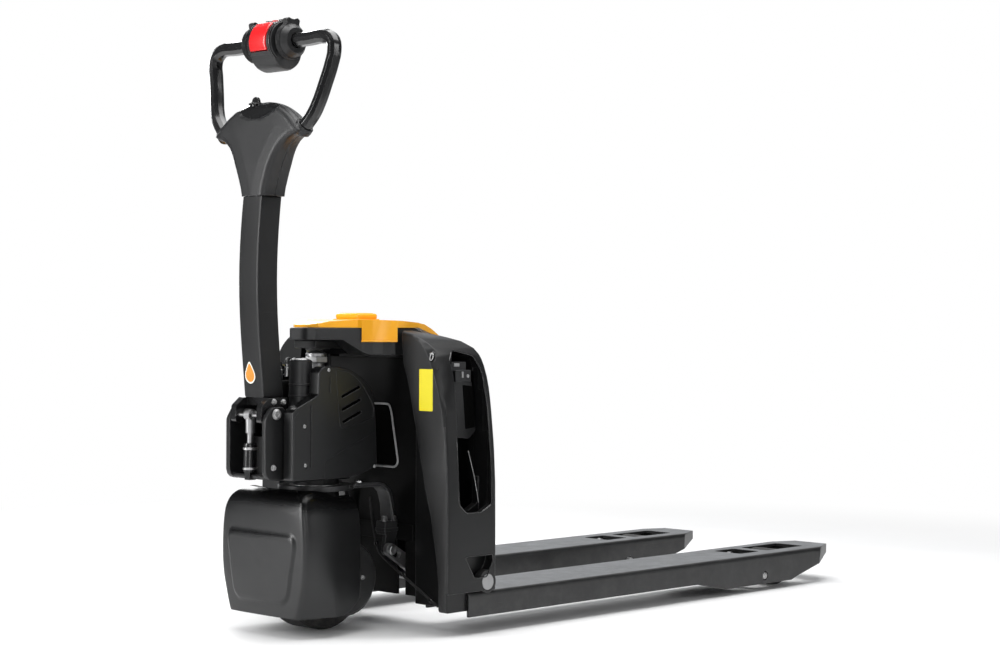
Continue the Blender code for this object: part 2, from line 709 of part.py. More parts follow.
# (x, z) of the strap that bends down from the ring to the clamp
STRAP = [
    (-0.570, 0.2770), (-0.495, 0.2770), (-0.4805, 0.2640), (-0.4730, 0.240),
    (-0.4700, 0.205), (-0.4620, 0.205), (-0.4640, 0.242), (-0.4720, 0.268),
    (-0.490, 0.282), (-0.570, 0.282),
]
# (x, z, corner radius) of the ear that holds the yoke pin
EAR = [
    (-0.483, 0.183, 0), (-0.454, 0.183, 0), (-0.466, 0.146, 0.006),
    (-0.472, 0.1385, 0.006), (-0.482, 0.1385, 0.006), (-0.4885, 0.146, 0.006),
    (-0.4880, 0.158, 0.006),
]


def yoke_bracket():
    profile = both_ends([(0.0520, 0.005), (0.0740, 0.005)])
    ring = turned("yoke_bracket", profile, YOKE_CENTRE, "Z", BLACK, 28)
    for side in (1, -1):
        fuse(ring, prism(f"strap_{side}", STRAP, "Y", across(side, 0.050, 0.081)))
        fuse(ring, block(
            f"clamp_{side}", (-0.487, -0.4530), across(side, 0.0540, 0.0810),
            (0.180, 0.207), round_by=0.002))
        ear = rounded(EAR, steps=2)
        fuse(ring, prism(f"ear_{side}", ear, "Y", across(side, 0.0705, 0.0805)))
        bore_y = across(side, 0.06, 0.1)
        cut(ring, y_rod(f"ear_bore_{side}", YOKE_PIN, bore_y, 0.0054, sides=16))


def yoke_pin(side):
    y_range = across(side, 0.0690, 0.0970)
    y_rod(mirrored("yoke_pin", side), YOKE_PIN, y_range, 0.0050, STEEL, 16)


def slew_bearing():
    profile = both_ends([(0.0462, 0.006), (0.0516, 0.006)])
    turned("slew_bearing", profile, YOKE_CENTRE, "Z", STEEL, 28)


# ---------------------------------------------------------------- drive cover
# (x, y) of the cover at its widest level, from the middle of the operator side
# to the edge on the fork side
COVER_PLAN = [
    (-0.7360, 0.0000), (-0.7355, 0.0400), (-0.7338, 0.0780), (-0.7305, 0.1050),
    (-0.7270, 0.1175), (-0.7205, 0.1258), (-0.7100, 0.1290), (-0.6880, 0.1282),
    (-0.6600, 0.1250), (-0.6300, 0.1198), (-0.6020, 0.1140), (-0.5770, 0.1085),
]
# (height, share of the length kept, share of the width kept)
COVER_LEVELS = [
    (0.0390, 0.990, 0.790), (0.0520, 0.992, 0.835), (0.0800, 0.996, 0.905),
    (0.1150, 1.000, 0.975), (0.1550, 1.000, 1.000), (0.1950, 1.000, 0.990),
    (0.2300, 0.995, 0.960), (0.2480, 0.978, 0.925), (0.2620, 0.930, 0.870),
    (0.2720, 0.855, 0.790), (0.2790, 0.745, 0.690),
]
COLLAR_R = 0.0765
COLLAR_HALF_SWEEP = math.radians(100)


def clamp(value):
    return max(0.0, min(1.0, value))


def cover_point(x, y, z, length_share, width_share):
    # Below the roof, the narrowing fades out towards the fork side.
    if z < 0.20:
        width_share += (1.0 - width_share) * clamp((x + 0.735) / 0.080)
    # The bottom rim rises towards the fork side.
    rim_rise = 0.030 * clamp((x + 0.640) / 0.063) ** 2 * clamp((0.115 - z) / 0.076) ** 1.5
    # The roof falls towards the fork side.
    roof = max(0.0, (z - 0.230) / 0.049)
    roof_drop = 0.014 * roof * clamp((x + 0.705) / 0.09)
    new_x = AXIS_X + (x - AXIS_X) * length_share
    if z > 0.275:
        new_x = min(new_x, AXIS_X + 0.02)
    return (new_x, y * width_share, z + rim_rise - roof_drop)


def drive_cover():
    """A rounded pod over the operator side of the drive wheel, open below and on
    the fork side."""
    plan = [(x, -y) for x, y in reversed(COVER_PLAN[1:])] + COVER_PLAN
    bm = bmesh.new()
    rows = [
        [bm.verts.new(cover_point(x, y, z, length_share, width_share)) for x, y in plan]
        for z, length_share, width_share in COVER_LEVELS
    ]
    # The roof runs in to a collar that stands clear of the column.
    collar = []
    count = len(plan) - 1
    for k in range(count + 1):
        share = -1 + 2 * k / count
        a = math.pi - share * COLLAR_HALF_SWEEP
        collar.append(bm.verts.new((
            AXIS_X + COLLAR_R * math.cos(a), COLLAR_R * math.sin(a),
            0.2700 - 0.008 * abs(share))))
    rows.append(collar)
    for low, high in zip(rows, rows[1:]):
        for corners in zip(low, low[1:], high[1:], high):
            bm.faces.new(corners)
    cover = from_bmesh("drive_cover", bm, SHELL)
    # The wall thickens against the normals. One face, low on the right, fixes
    # their sense: it must not point to +X.
    if cover.data.polygons[3].normal.x > 0:
        cover.data.flip_normals()
    wall = cover.modifiers.new("Solidify", "SOLIDIFY")
    wall.thickness = 0.0035
    wall.offset = -1.0
    wall.use_even_offset = True
    smooth(cover)


# --------------------------------------------------------- drive and steering
CHEEK_Y = (0.0385, 0.0480)
DRUM_Y = 0.0484          # inner face of the motor and of the gearbox
DRUM_R = 0.072
DRIVE_AXLE_R = 0.0120
DRIVE_BORE_R = DRIVE_AXLE_R + GAP
WHEEL_HALF_W = 0.035
TYRE_CHAMFER = 0.006
PUMP_TOP = 0.372
POT_BASE = PUMP_TOP + 0.0005
# (radius, distance out from the inner face)
DRUM_PROFILE = [
    (0.0, 0.0), (DRUM_R, 0.0), (DRUM_R, 0.048), (DRUM_R - 0.007, 0.0550), (0.0, 0.0550),
]
# (radius, distance from the middle)
HUB_HALF = [
    (DRIVE_BORE_R, WHEEL_HALF_W - 0.004), (0.030, WHEEL_HALF_W - 0.004),
    (0.036, WHEEL_HALF_W - 0.010), (0.068, WHEEL_HALF_W - 0.010),
    (0.074, WHEEL_HALF_W - 0.002), (0.0838, WHEEL_HALF_W - 0.002),
]
TYRE_HALF = [
    (0.0842, WHEEL_HALF_W), (DRIVE_WHEEL_R - TYRE_CHAMFER, WHEEL_HALF_W),
    (DRIVE_WHEEL_R, WHEEL_HALF_W - TYRE_CHAMFER),
]
# (radius, height above the floor)
COLUMN_PROFILE = [
    (0.0, 0.2345), (0.056, 0.2345), (0.056, 0.248), (0.0458, 0.252), (0.0458, 0.300),
    (0.0, 0.300),
]
CYLINDER_PROFILE = [
    (0.0, POT_BASE), (0.033, POT_BASE), (0.033, 0.498), (0.030, 0.504),
    (0.0172, 0.504), (0.0172, 0.385), (0.0, 0.385),
]
PLUNGER_BASE = 0.388
PLUNGER_PROFILE = [
    (0.0, PLUNGER_BASE), (0.0165, PLUNGER_BASE), (0.0165, 0.5200), (0.0205, 0.5210),
    (0.0205, 0.5385), (0.0150, 0.5410), (0.0, 0.5450),
]
PUMP_MOTOR_PROFILE = [
    (0.0, POT_BASE), (0.0225, POT_BASE), (0.0225, 0.523), (0.0205, 0.527), (0.0, 0.527),
]
OIL_TANK_PROFILE = [
    (0.0, POT_BASE), (0.0260, POT_BASE), (0.0260, 0.478), (0.022, 0.486),
    (0.010, 0.486), (0.010, 0.498), (0.0, 0.498),
]


def drive_bracket():
    bracket = block(
        "drive_bracket", (AXIS_X - 0.060, AXIS_X + 0.060), even(0.0600),
        (0.2200, 0.2340), CAST, round_by=0.004)
    cheek = link_outline(DRIVE_AXLE, 0.050, (AXIS_X, 0.190), 0.036)
    for side in (1, -1):
        cheek_y = across(side, *CHEEK_Y)
        fuse(bracket, prism(f"drive_cheek_{side}", cheek, "Y", cheek_y))
        fuse(bracket, block(
            f"drive_cheek_top_{side}", (AXIS_X - 0.040, AXIS_X + 0.040), cheek_y,
            (0.20, 0.226)))
        cut(bracket, y_rod(
            f"drive_axle_hole_{side}", DRIVE_AXLE, across(side, 0.03, 0.06),
            DRIVE_BORE_R, sides=20))


def drive_drum(name, bore_name, side):
    """A round housing that stands out from one cheek of the drive bracket."""
    centre = Vector((AXIS_X, side * DRUM_Y, DRIVE_WHEEL_R))
    drum = turned(name, DRUM_PROFILE, centre, "Y", CAST, 32)
    if side < 0:
        drum.data.transform(Matrix.Translation(-centre))
        drum.data.transform(Matrix.Rotation(math.pi, 4, "Z"))
        drum.data.transform(Matrix.Translation(centre))
    bore_y = across(side, 0.03, 0.064)
    cut(drum, y_rod(bore_name, DRIVE_AXLE, bore_y, DRIVE_BORE_R, sides=20))


def drive_wheel():
    centre = (AXIS_X, 0, DRIVE_WHEEL_R)
    axle = y_rod("drive_axle", DRIVE_AXLE, even(0.0620), DRIVE_AXLE_R, STEEL, 20)
    set_origin(axle, centre)
    hub = turned("drive_wheel_hub", both_ends(HUB_HALF), (0, 0, 0), "Y", CAST, 28)
    hub.location = centre
    tyre = turned("drive_wheel_tyre", both_ends(TYRE_HALF), (0, 0, 0), "Y", RUBBER, 40)
    tyre.location = centre


def steering_column():
    column = turned("steering_column", COLUMN_PROFILE, (AXIS_X, 0, 0), "Z", CAST, 28)
    fuse(column, block(
        "pump_block", (-0.690, -0.545), even(0.0450), (0.292, PUMP_TOP), round_by=0.005))


def lift_cylinder():
    turned("lift_cylinder", CYLINDER_PROFILE, (AXIS_X, 0, 0), "Z", BLACK, 28)


def lift_plunger():
    plunger = turned("lift_plunger", PLUNGER_PROFILE, (AXIS_X, 0, 0), "Z", STEEL, 24)
    set_origin(plunger, (AXIS_X, 0, PLUNGER_BASE))


def pump_motor():
    turned("pump_motor", PUMP_MOTOR_PROFILE, (-0.6660, -0.0330, 0), "Z", SHELL, 24)


def oil_tank():
    turned("oil_tank", OIL_TANK_PROFILE, (-0.6600, 0.0330, 0), "Z", BLACK, 24)


# ---------------------------------------------------------------- side covers
# (x, z, corner radius) round the outside
SIDE_COVER = [
    (-0.7325, 0.2990, 0.004), (-0.7325, 0.4290, 0.004), (-0.7260, 0.4350, 0.004),
    (-0.6760, 0.4570, 0.004), (-0.6695, 0.4620, 0.003), (-0.6680, 0.5055, 0.006),
    (-0.6565, 0.5150, 0.006), (-0.6261, 0.5150, 0.015), (-0.5936, 0.5100, 0.015),
    (-0.5643, 0.4957, 0.015), (-0.5383, 0.4760, 0.012), (-0.5271, 0.4592, 0.010),
    (-0.5213, 0.4204, 0.015), (-0.5170, 0.3263, 0.004), (-0.5215, 0.3180, 0.004),
    (-0.5558, 0.3048, 0.015), (-0.5900, 0.2990, 0.008),
]
# (x, z) round the hollow
SIDE_COVER_INSIDE = [
    (-0.7255, 0.3060), (-0.7255, 0.4250), (-0.6700, 0.4490), (-0.6620, 0.4600),
    (-0.6610, 0.5000), (-0.6530, 0.5080), (-0.6270, 0.5080), (-0.5960, 0.5035),
    (-0.5690, 0.4900), (-0.5450, 0.4710), (-0.5345, 0.4560), (-0.5285, 0.4200),
    (-0.5245, 0.3300), (-0.5600, 0.3120), (-0.5920, 0.3060),
]
VENT_TOP = (-0.5867, 0.4653)
VENT_PITCH = (0.0012, -0.0246)
VENT_REACH = (0.0216, 0.0090)   # from a vent's middle to its upper end's centre
VENT_R = 0.0029


def side_cover(side):
    """Pressed cover with a step on the operator side, a round shoulder and
    three vent slots."""
    name = mirrored("side_cover", side)
    outline = rounded(SIDE_COVER, steps=2)
    body = prism(name, outline, "Y", across(side, 0.0620, 0.0900), SHELL, edge=0.004)
    inside_y = across(side, 0.05, 0.0865)
    cut(body, prism(name + "_inside", SIDE_COVER_INSIDE, "Y", inside_y))
    reach_x, reach_z = VENT_REACH
    for k in range(3):
        x = VENT_TOP[0] + VENT_PITCH[0] * k
        z = VENT_TOP[1] + VENT_PITCH[1] * k
        slot = link_outline(
            (x - reach_x, z - reach_z), VENT_R, (x + reach_x, z + reach_z), VENT_R, 3)
        cut(body, prism(f"{name}_vent_{k}", slot, "Y", across(side, 0.08, 0.10)))


# ---------------------------------------------------------------- tiller base
PIVOT_XZ = (TILLER_PIVOT.x, TILLER_PIVOT.z)
HOLE_Y = even(0.1)       # through both cheeks of the base or of the bracket
# (x, z, corner radius)
BASE_CHEEK = [
    (-0.7735, 0.300, 0.018), (-0.7085, 0.300, 0.004), (-0.7085, 0.415, 0.012),
    (-0.730, 0.4385, 0.008), (-0.7585, 0.4385, 0.014), (-0.7735, 0.415, 0.018),
]
# (radius, distance from the middle): relieved in the middle, where the head of
# the gas spring swings past
PIVOT_PIN_HALF = [(0.0, 0.0620), (0.0080, 0.0620), (0.0080, 0.0120), (0.0042, 0.0110)]


def tiller_base():
    """Two round-cornered cheeks and a cross web that carry the tiller's pivot."""
    cheek = rounded(BASE_CHEEK, steps=3)
    body = prism("tiller_base", cheek, "Y", (-0.0590, -0.0480), BLACK, edge=0.002)
    fuse(body, prism("base_cheek_far", cheek, "Y", (0.0480, 0.0590)))
    inner_y = even(0.0500)
    fuse(body, block("base_web", (-0.7240, -0.7080), inner_y, (0.304, 0.378)))
    fuse(body, block("base_foot", (-0.7500, -0.6930), inner_y, (0.2995, 0.3060)))
    fuse(body, y_rod("base_low_boss", SPRING_LOW, inner_y, 0.0040, sides=12))
    cut(body, y_rod("base_pivot_hole", PIVOT_XZ, HOLE_Y, 0.0084, sides=20))


def tiller_pivot_pin():
    turned("tiller_pivot_pin", both_ends(PIVOT_PIN_HALF), TILLER_PIVOT, "Y", STEEL, 20)


# -------------------------------------------------------------------- tiller
# (z, x) along the operator-side face of the bowed tube
TILLER_STATIONS = (
    (0.4560, -0.7540), (0.5400, -0.7620), (0.6410, -0.7690), (0.7360, -0.7685),
    (0.8392, -0.7600),
)
TILLER_STEPS = 12
TILLER_DEPTH = 0.0500
TILLER_HALF_W = 0.0290
TILLER_WALL = 0.005
# (x, z, corner radius)
BRACKET_CHEEK = [
    (-0.7720, 0.4400, 0.008), (-0.7735, 0.4090, 0.006), (-0.7560, 0.4060, 0.006),
    (-0.7380, 0.4120, 0.01), (-0.7120, 0.4220, 0.01), (-0.7080, 0.4555, 0.002),
    (-0.7530, 0.4555, 0.002),
]
# (radius, height above the floor)
SPRING_CYLINDER_PROFILE = [
    (0.0068, 0.314), (0.0130, 0.314), (0.0130, 0.366), (0.0115, 0.369), (0.0068, 0.369),
]


def tiller_front(z):
    """x of the operator-side face: the polynomial through all the stations."""
    total = 0.0
    for i, (station_z, station_x) in enumerate(TILLER_STATIONS):
        weight = 1.0
        for j, (other_z, _) in enumerate(TILLER_STATIONS):
            if j != i:
                weight *= (z - other_z) / (station_z - other_z)
        total += weight * station_x
    return total


def tiller_tube():
    low, high = TILLER_STATIONS[0][0], TILLER_STATIONS[-1][0]
    heights = [low + (high - low) * k / TILLER_STEPS for k in range(TILLER_STEPS + 1)]
    front = [(tiller_front(z), z) for z in heights]
    outline = front + [(x + TILLER_DEPTH, z) for x, z in reversed(front)]
    tube = prism("tiller_tube", outline, "Y", even(TILLER_HALF_W), BLACK, edge=0.004)
    # The hollow runs out past both ends.
    inside = [(x + TILLER_WALL, z) for x, z in front]
    inside[0] = (inside[0][0], low - 0.01)
    inside[-1] = (inside[-1][0], high + 0.01)
    inside += [(x + TILLER_DEPTH - 2 * TILLER_WALL, z) for x, z in reversed(inside)]
    cut(tube, prism("tiller_hollow", inside, "Y", even(TILLER_HALF_W - TILLER_WALL)))


def tiller_bracket():
    cheek = rounded(BRACKET_CHEEK, steps=3)
    bracket = prism("tiller_bracket", cheek, "Y", (-0.0455, -0.0310), GLOSS)
    fuse(bracket, prism("bracket_far", cheek, "Y", (0.0310, 0.0455)))
    fuse(bracket, block(
        "bracket_web", (-0.7440, -0.7150), even(0.0330), (0.4400, 0.4555)))
    cut(bracket, y_rod("bracket_hole", PIVOT_XZ, HOLE_Y, 0.0083, sides=20))
    cut(bracket, y_rod("bracket_spring_hole", SPRING_TOP, HOLE_Y, 0.0033, sides=12))


def gas_spring():
    """A cylinder on the base's low boss and a rod on a pin in the tiller bracket."""
    x, z = SPRING_LOW
    hole_y = even(0.05)
    y_rod("gas_spring_pin", SPRING_TOP, even(0.0450), 0.0030, STEEL, 12)

    cylinder = turned(
        "gas_spring_cylinder", SPRING_CYLINDER_PROFILE, (x, 0, 0), "Z", GLOSS, 20)
    fuse(cylinder, block(
        "spring_eye", (x - 0.0075, x + 0.0075), even(0.0075), (0.2990, 0.3200)))
    cut(cylinder, y_rod("spring_eye_hole", SPRING_LOW, hole_y, 0.0044, sides=12))
    set_origin(cylinder, (x, 0, z))

    body = rod("gas_spring_rod", (x, 0, 0.3380), (x, 0, 0.4050), 0.0060, STEEL, 16)
    fuse(body, rod("spring_head", (x, 0, 0.3880), (x, 0, 0.4150), 0.0090, sides=16))
    fuse(body, y_rod("spring_top_eye", SPRING_TOP, even(0.0080), 0.0093, sides=20))
    cut(body, y_rod("spring_top_hole", SPRING_TOP, hole_y, 0.0067, sides=16))


# --------------------------------------------------------------------- handle
SHELL_X = -0.7330        # plane where the two halves of the shell meet
KEY = (SHELL_X, 0.022, 1.0180)
# (y, z, corner radius) up one side of the shell
HANDLE_SHELL_HALF = [
    (0.0355, 0.8398, 0.003), (0.0435, 0.8680, 0.03), (0.0560, 0.9000, 0.05),
    (0.0720, 0.9280, 0.04), (0.0960, 0.9460, 0.03), (0.1150, 0.9520, 0.008),
    (0.1285, 0.9590, 0.003), (0.1035, 0.9835, 0.006), (0.0860, 0.9965, 0.03),
    (0.0600, 1.0100, 0.05), (0.0300, 1.0180, 0.04),
]
# Object name, x range and (x, z) of the wedge that tapers the face
HANDLE_SHELLS = [
    ("handle_shell_front", (-0.7650, SHELL_X - GAP),
     [(-0.80, 0.90), (-0.7640, 0.90), (-0.7480, 1.03), (-0.80, 1.03)]),
    ("handle_shell_back", (SHELL_X + GAP, -0.7020),
     [(-0.66, 0.90), (-0.7015, 0.90), (-0.7150, 1.03), (-0.66, 1.03)]),
]
# (x, y, z) along the left half of the loop, from its foot to the control head
LOOP_HALF = [
    (SHELL_X, 0.1080, 0.9570), (-0.7285, 0.1370, 0.9840), (-0.7260, 0.1490, 1.0020),
    (-0.7175, 0.1640, 1.0480), (-0.7115, 0.1745, 1.0860), (-0.7100, 0.1785, 1.1060),
    (-0.7085, 0.1735, 1.1240), (-0.7080, 0.1550, 1.1345), (-0.7080, 0.1150, 1.1350),
]
# (radius, height above the rim of the shell)
KEY_PROFILE = [
    (0.0, -0.0222), (0.0085, -0.0222), (0.0085, -0.0100), (0.0106, -0.0090),
    (0.0106, 0.0030), (0.0094, 0.0045), (0.0, 0.0045),
]


def handle_shells():
    outline = rounded(both_sides(HANDLE_SHELL_HALF, flip_u=-1), steps=2)
    foot_x, foot_y, foot_z = LOOP_HALF[0]
    for k, (name, x_range, wedge) in enumerate(HANDLE_SHELLS):
        half = prism(name, outline, "X", x_range, SHELL, edge=0.007)
        cut(half, prism(f"shell_taper_{k}", wedge, "Y", CUT_BODY))
        for side in (1, -1):
            foot = Vector((foot_x, side * foot_y, foot_z))
            end = Vector((-0.7230, side * 0.1700, 1.0150))
            toward = (end - foot).normalized()
            cut(half, rod(f"socket_{k}_{side}", foot - toward * 0.012, end, LOOP_R + 0.0022))
        x, y, _ = KEY
        cut(half, rod(f"key_hole_{k}", (x, y, 0.995), (x, y, 1.05), 0.0112, sides=20))


def handle_loop():
    """One bent tube, from one socket round through the control head to the other."""
    path = LOOP_HALF + [(x, -y, z) for x, y, z in reversed(LOOP_HALF)]
    curve = bpy.data.curves.new("handle_loop", "CURVE")
    curve.dimensions = "3D"
    curve.bevel_depth = LOOP_R
    curve.bevel_resolution = 3
    curve.use_fill_caps = True
    curve.resolution_u = 3
    spline = curve.splines.new("BEZIER")
    spline.bezier_points.add(len(path) - 1)
    for point, place_on_path in zip(spline.bezier_points, path):
        point.co = place_on_path
        point.handle_left_type = point.handle_right_type = "AUTO"
    # The cross bar through the control head is straight.
    for index in (len(LOOP_HALF) - 1, len(LOOP_HALF)):
        spline.bezier_points[index].handle_left_type = "VECTOR"
        spline.bezier_points[index].handle_right_type = "VECTOR"
    curve.materials.append(GLOSS)
    smooth(to_mesh(link("handle_loop", curve, helper=False)))


def key_switch():
    knob = turned("key_switch", KEY_PROFILE, KEY, "Z", GLOSS, 20)
    set_origin(knob, KEY)
    fuse(knob, block(
        "key_wing", (-0.7360, -0.7300), (0.0130, 0.0310), (1.0195, 1.0310),
        round_by=0.0014))


# --------------------------------------------------------------- control head
HEAD_R = 0.0405
HEAD_BORE_R = LOOP_R + 0.0004
BUTTON_R = 0.0080
BUTTON_X = HEAD.x + 0.0060
# (radius, distance from the middle)
BARREL_HALF = [(HEAD_BORE_R, 0.0370), (0.0385, 0.0370), (HEAD_R, 0.0330)]
CHIN_HALF = [(0.0, 0.0420), (0.0200, 0.0420), (0.0345, 0.0340), (0.0370, 0.0270)]
BELLY_HALF = [(0.0225, 0.0243), (HEAD_R + 0.0015, 0.0243), (HEAD_R + 0.0035, 0.0200)]
THROTTLE_PROFILE = [
    (HEAD_BORE_R, 0.0430), (0.0300, 0.0430), (0.0340, 0.0460), (0.0335, 0.0560),
    (0.0245, 0.0680), (HEAD_BORE_R, 0.0680),
]
# (x and z from the head's centre, corner radius)
PADDLE = [
    (-0.0130, 0.0250, 0), (0.0130, 0.0250, 0), (0.0165, 0.0400, 0.003),
    (0.0110, 0.0444, 0.003), (0.0, 0.0405, 0.005), (-0.0110, 0.0444, 0.003),
    (-0.0165, 0.0400, 0.003),
]
# (object name, y, material)
BUTTONS = [
    ("raise_button", 0.0195, GLOSS), ("lower_button", -0.0195, GLOSS),
    ("horn_button", 0.0, RED),
]


def control_barrel():
    """Hollow barrel on the loop's cross bar, open for the belly button and the
    push buttons."""
    barrel = turned("control_barrel", both_ends(BARREL_HALF), HEAD, "Y", SHELL, 36)
    chin_centre = (HEAD.x + 0.0050, 0, HEAD.z - 0.0170)
    chin = turned("head_chin", both_ends(CHIN_HALF), chin_centre, "Y", steps=32)
    chin.data.materials.append(SHELL)
    fuse(barrel, chin)
    cut(barrel, y_rod("head_bore", (HEAD.x, HEAD.z), even(0.1), HEAD_BORE_R, sides=28))
    cut(barrel, block(
        "belly_way", (HEAD.x - 0.060, HEAD.x - 0.0166), even(0.0250),
        (HEAD.z - 0.0190, HEAD.z + 0.060)))
    for name, y, _ in BUTTONS:
        low = (BUTTON_X, y, HEAD.z + HEAD_R - 0.0080)
        high = (BUTTON_X, y, HEAD.z + 0.06)
        cut(barrel, rod(name + "_way", low, high, BUTTON_R + 0.0006, sides=16))


def belly_button():
    """The operator-side part of a ring round the barrel."""
    ring = turned("belly_button", both_ends(BELLY_HALF), HEAD, "Y", RED, 40)
    keep = block(
        "belly_keep", (HEAD.x - 0.0600, HEAD.x - 0.0232), even(0.0300),
        (HEAD.z - 0.0175, HEAD.z + 0.0600))
    cut(ring, keep, "INTERSECT")


def throttle(side):
    profile = [(r, side * y) for r, y in THROTTLE_PROFILE]
    sleeve = turned(mirrored("throttle", side), profile, HEAD, "Y", SHELL, 28)
    paddle = rounded([(HEAD.x + x, HEAD.z + z, r) for x, z, r in PADDLE], steps=2)
    fuse(sleeve, prism(f"paddle_{side}", paddle, "Y", across(side, 0.0440, 0.0575)))
    set_origin(sleeve, HEAD)


def push_buttons():
    for name, y, mat in BUTTONS:
        low = (BUTTON_X, y, HEAD.z + HEAD_R - 0.0046)
        high = (BUTTON_X, y, HEAD.z + HEAD_R + 0.0040)
        rod(name, low, high, BUTTON_R, mat, 16)


# ---------------------------------------------------------------------- build
front_wall()
heel_plate()
top_housing()
crosshead()
battery_case()
battery_lid()
battery_grip()
for hand in (1, -1):
    fork(hand)
    side_arm(hand)
    push_rod(hand)
    bogie(hand)
    bogie_pin(hand)
    load_wheel(hand)
    side_cover(hand)
    yoke_pin(hand)
    throttle(hand)
rocker()
yoke_bracket()
slew_bearing()
drive_cover()
drive_bracket()
drive_drum("drive_motor", "motor_bore", -1)
drive_drum("gearbox", "gearbox_bore", 1)
drive_wheel()
steering_column()
lift_cylinder()
lift_plunger()
pump_motor()
oil_tank()
tiller_base()
tiller_pivot_pin()
tiller_tube()
tiller_bracket()
gas_spring()
handle_shells()
handle_loop()
key_switch()
control_barrel()
belly_button()
push_buttons()
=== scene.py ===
"""Electric pallet jack: finishes, small fittings, studio, lights and camera round its CAD frame.

Metres, +Z up, floor at z = 0. The forks point along +X. The tiller and the drive wheel stand at
the -X end, which is called the front here. The centre plane is y = 0 and left is +Y.
"""

import math
from contextlib import contextmanager
from functools import cached_property

import bmesh
import bpy
from mathutils import Matrix, Vector


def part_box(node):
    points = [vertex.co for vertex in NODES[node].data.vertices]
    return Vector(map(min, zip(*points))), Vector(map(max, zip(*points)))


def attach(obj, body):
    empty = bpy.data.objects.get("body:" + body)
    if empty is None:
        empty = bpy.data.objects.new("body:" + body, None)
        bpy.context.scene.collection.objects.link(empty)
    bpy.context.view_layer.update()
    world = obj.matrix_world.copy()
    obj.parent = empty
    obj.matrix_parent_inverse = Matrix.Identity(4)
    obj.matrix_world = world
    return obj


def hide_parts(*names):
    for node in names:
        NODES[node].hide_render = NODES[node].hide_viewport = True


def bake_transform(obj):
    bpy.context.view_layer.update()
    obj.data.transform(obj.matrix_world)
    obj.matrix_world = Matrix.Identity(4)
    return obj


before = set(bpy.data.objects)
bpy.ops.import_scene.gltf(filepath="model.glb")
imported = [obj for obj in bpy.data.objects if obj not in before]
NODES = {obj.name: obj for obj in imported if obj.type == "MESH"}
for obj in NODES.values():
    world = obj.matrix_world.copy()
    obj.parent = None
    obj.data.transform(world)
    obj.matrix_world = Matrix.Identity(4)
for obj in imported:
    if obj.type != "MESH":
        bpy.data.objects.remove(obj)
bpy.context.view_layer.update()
scene = bpy.context.scene

SIDES = ((1, "left"), (-1, "right"))
AXIS_X = -0.598  # upright axis of the drive wheel and the lift cylinder
WHEEL_Z = 0.105  # axle height of the drive wheel
PUMP = (-0.666, -0.033)  # upright axis of the pump motor (x, y)

# Axes that run across the truck (x, z).
ROCKER = (-0.398, 0.098)
BOGIE = (0.491, 0.033)
PIVOT = (-0.7465, 0.425)
HEAD = (-0.708, 1.135)

SPRING_X = -0.762  # upright axis of the gas spring
HANDLE_X = -0.733  # plane where the two handle shells meet
KEY_Y = 0.022
WALL_X = -0.45  # the face of the front wall


# ---------------------------------------------------------------- materials


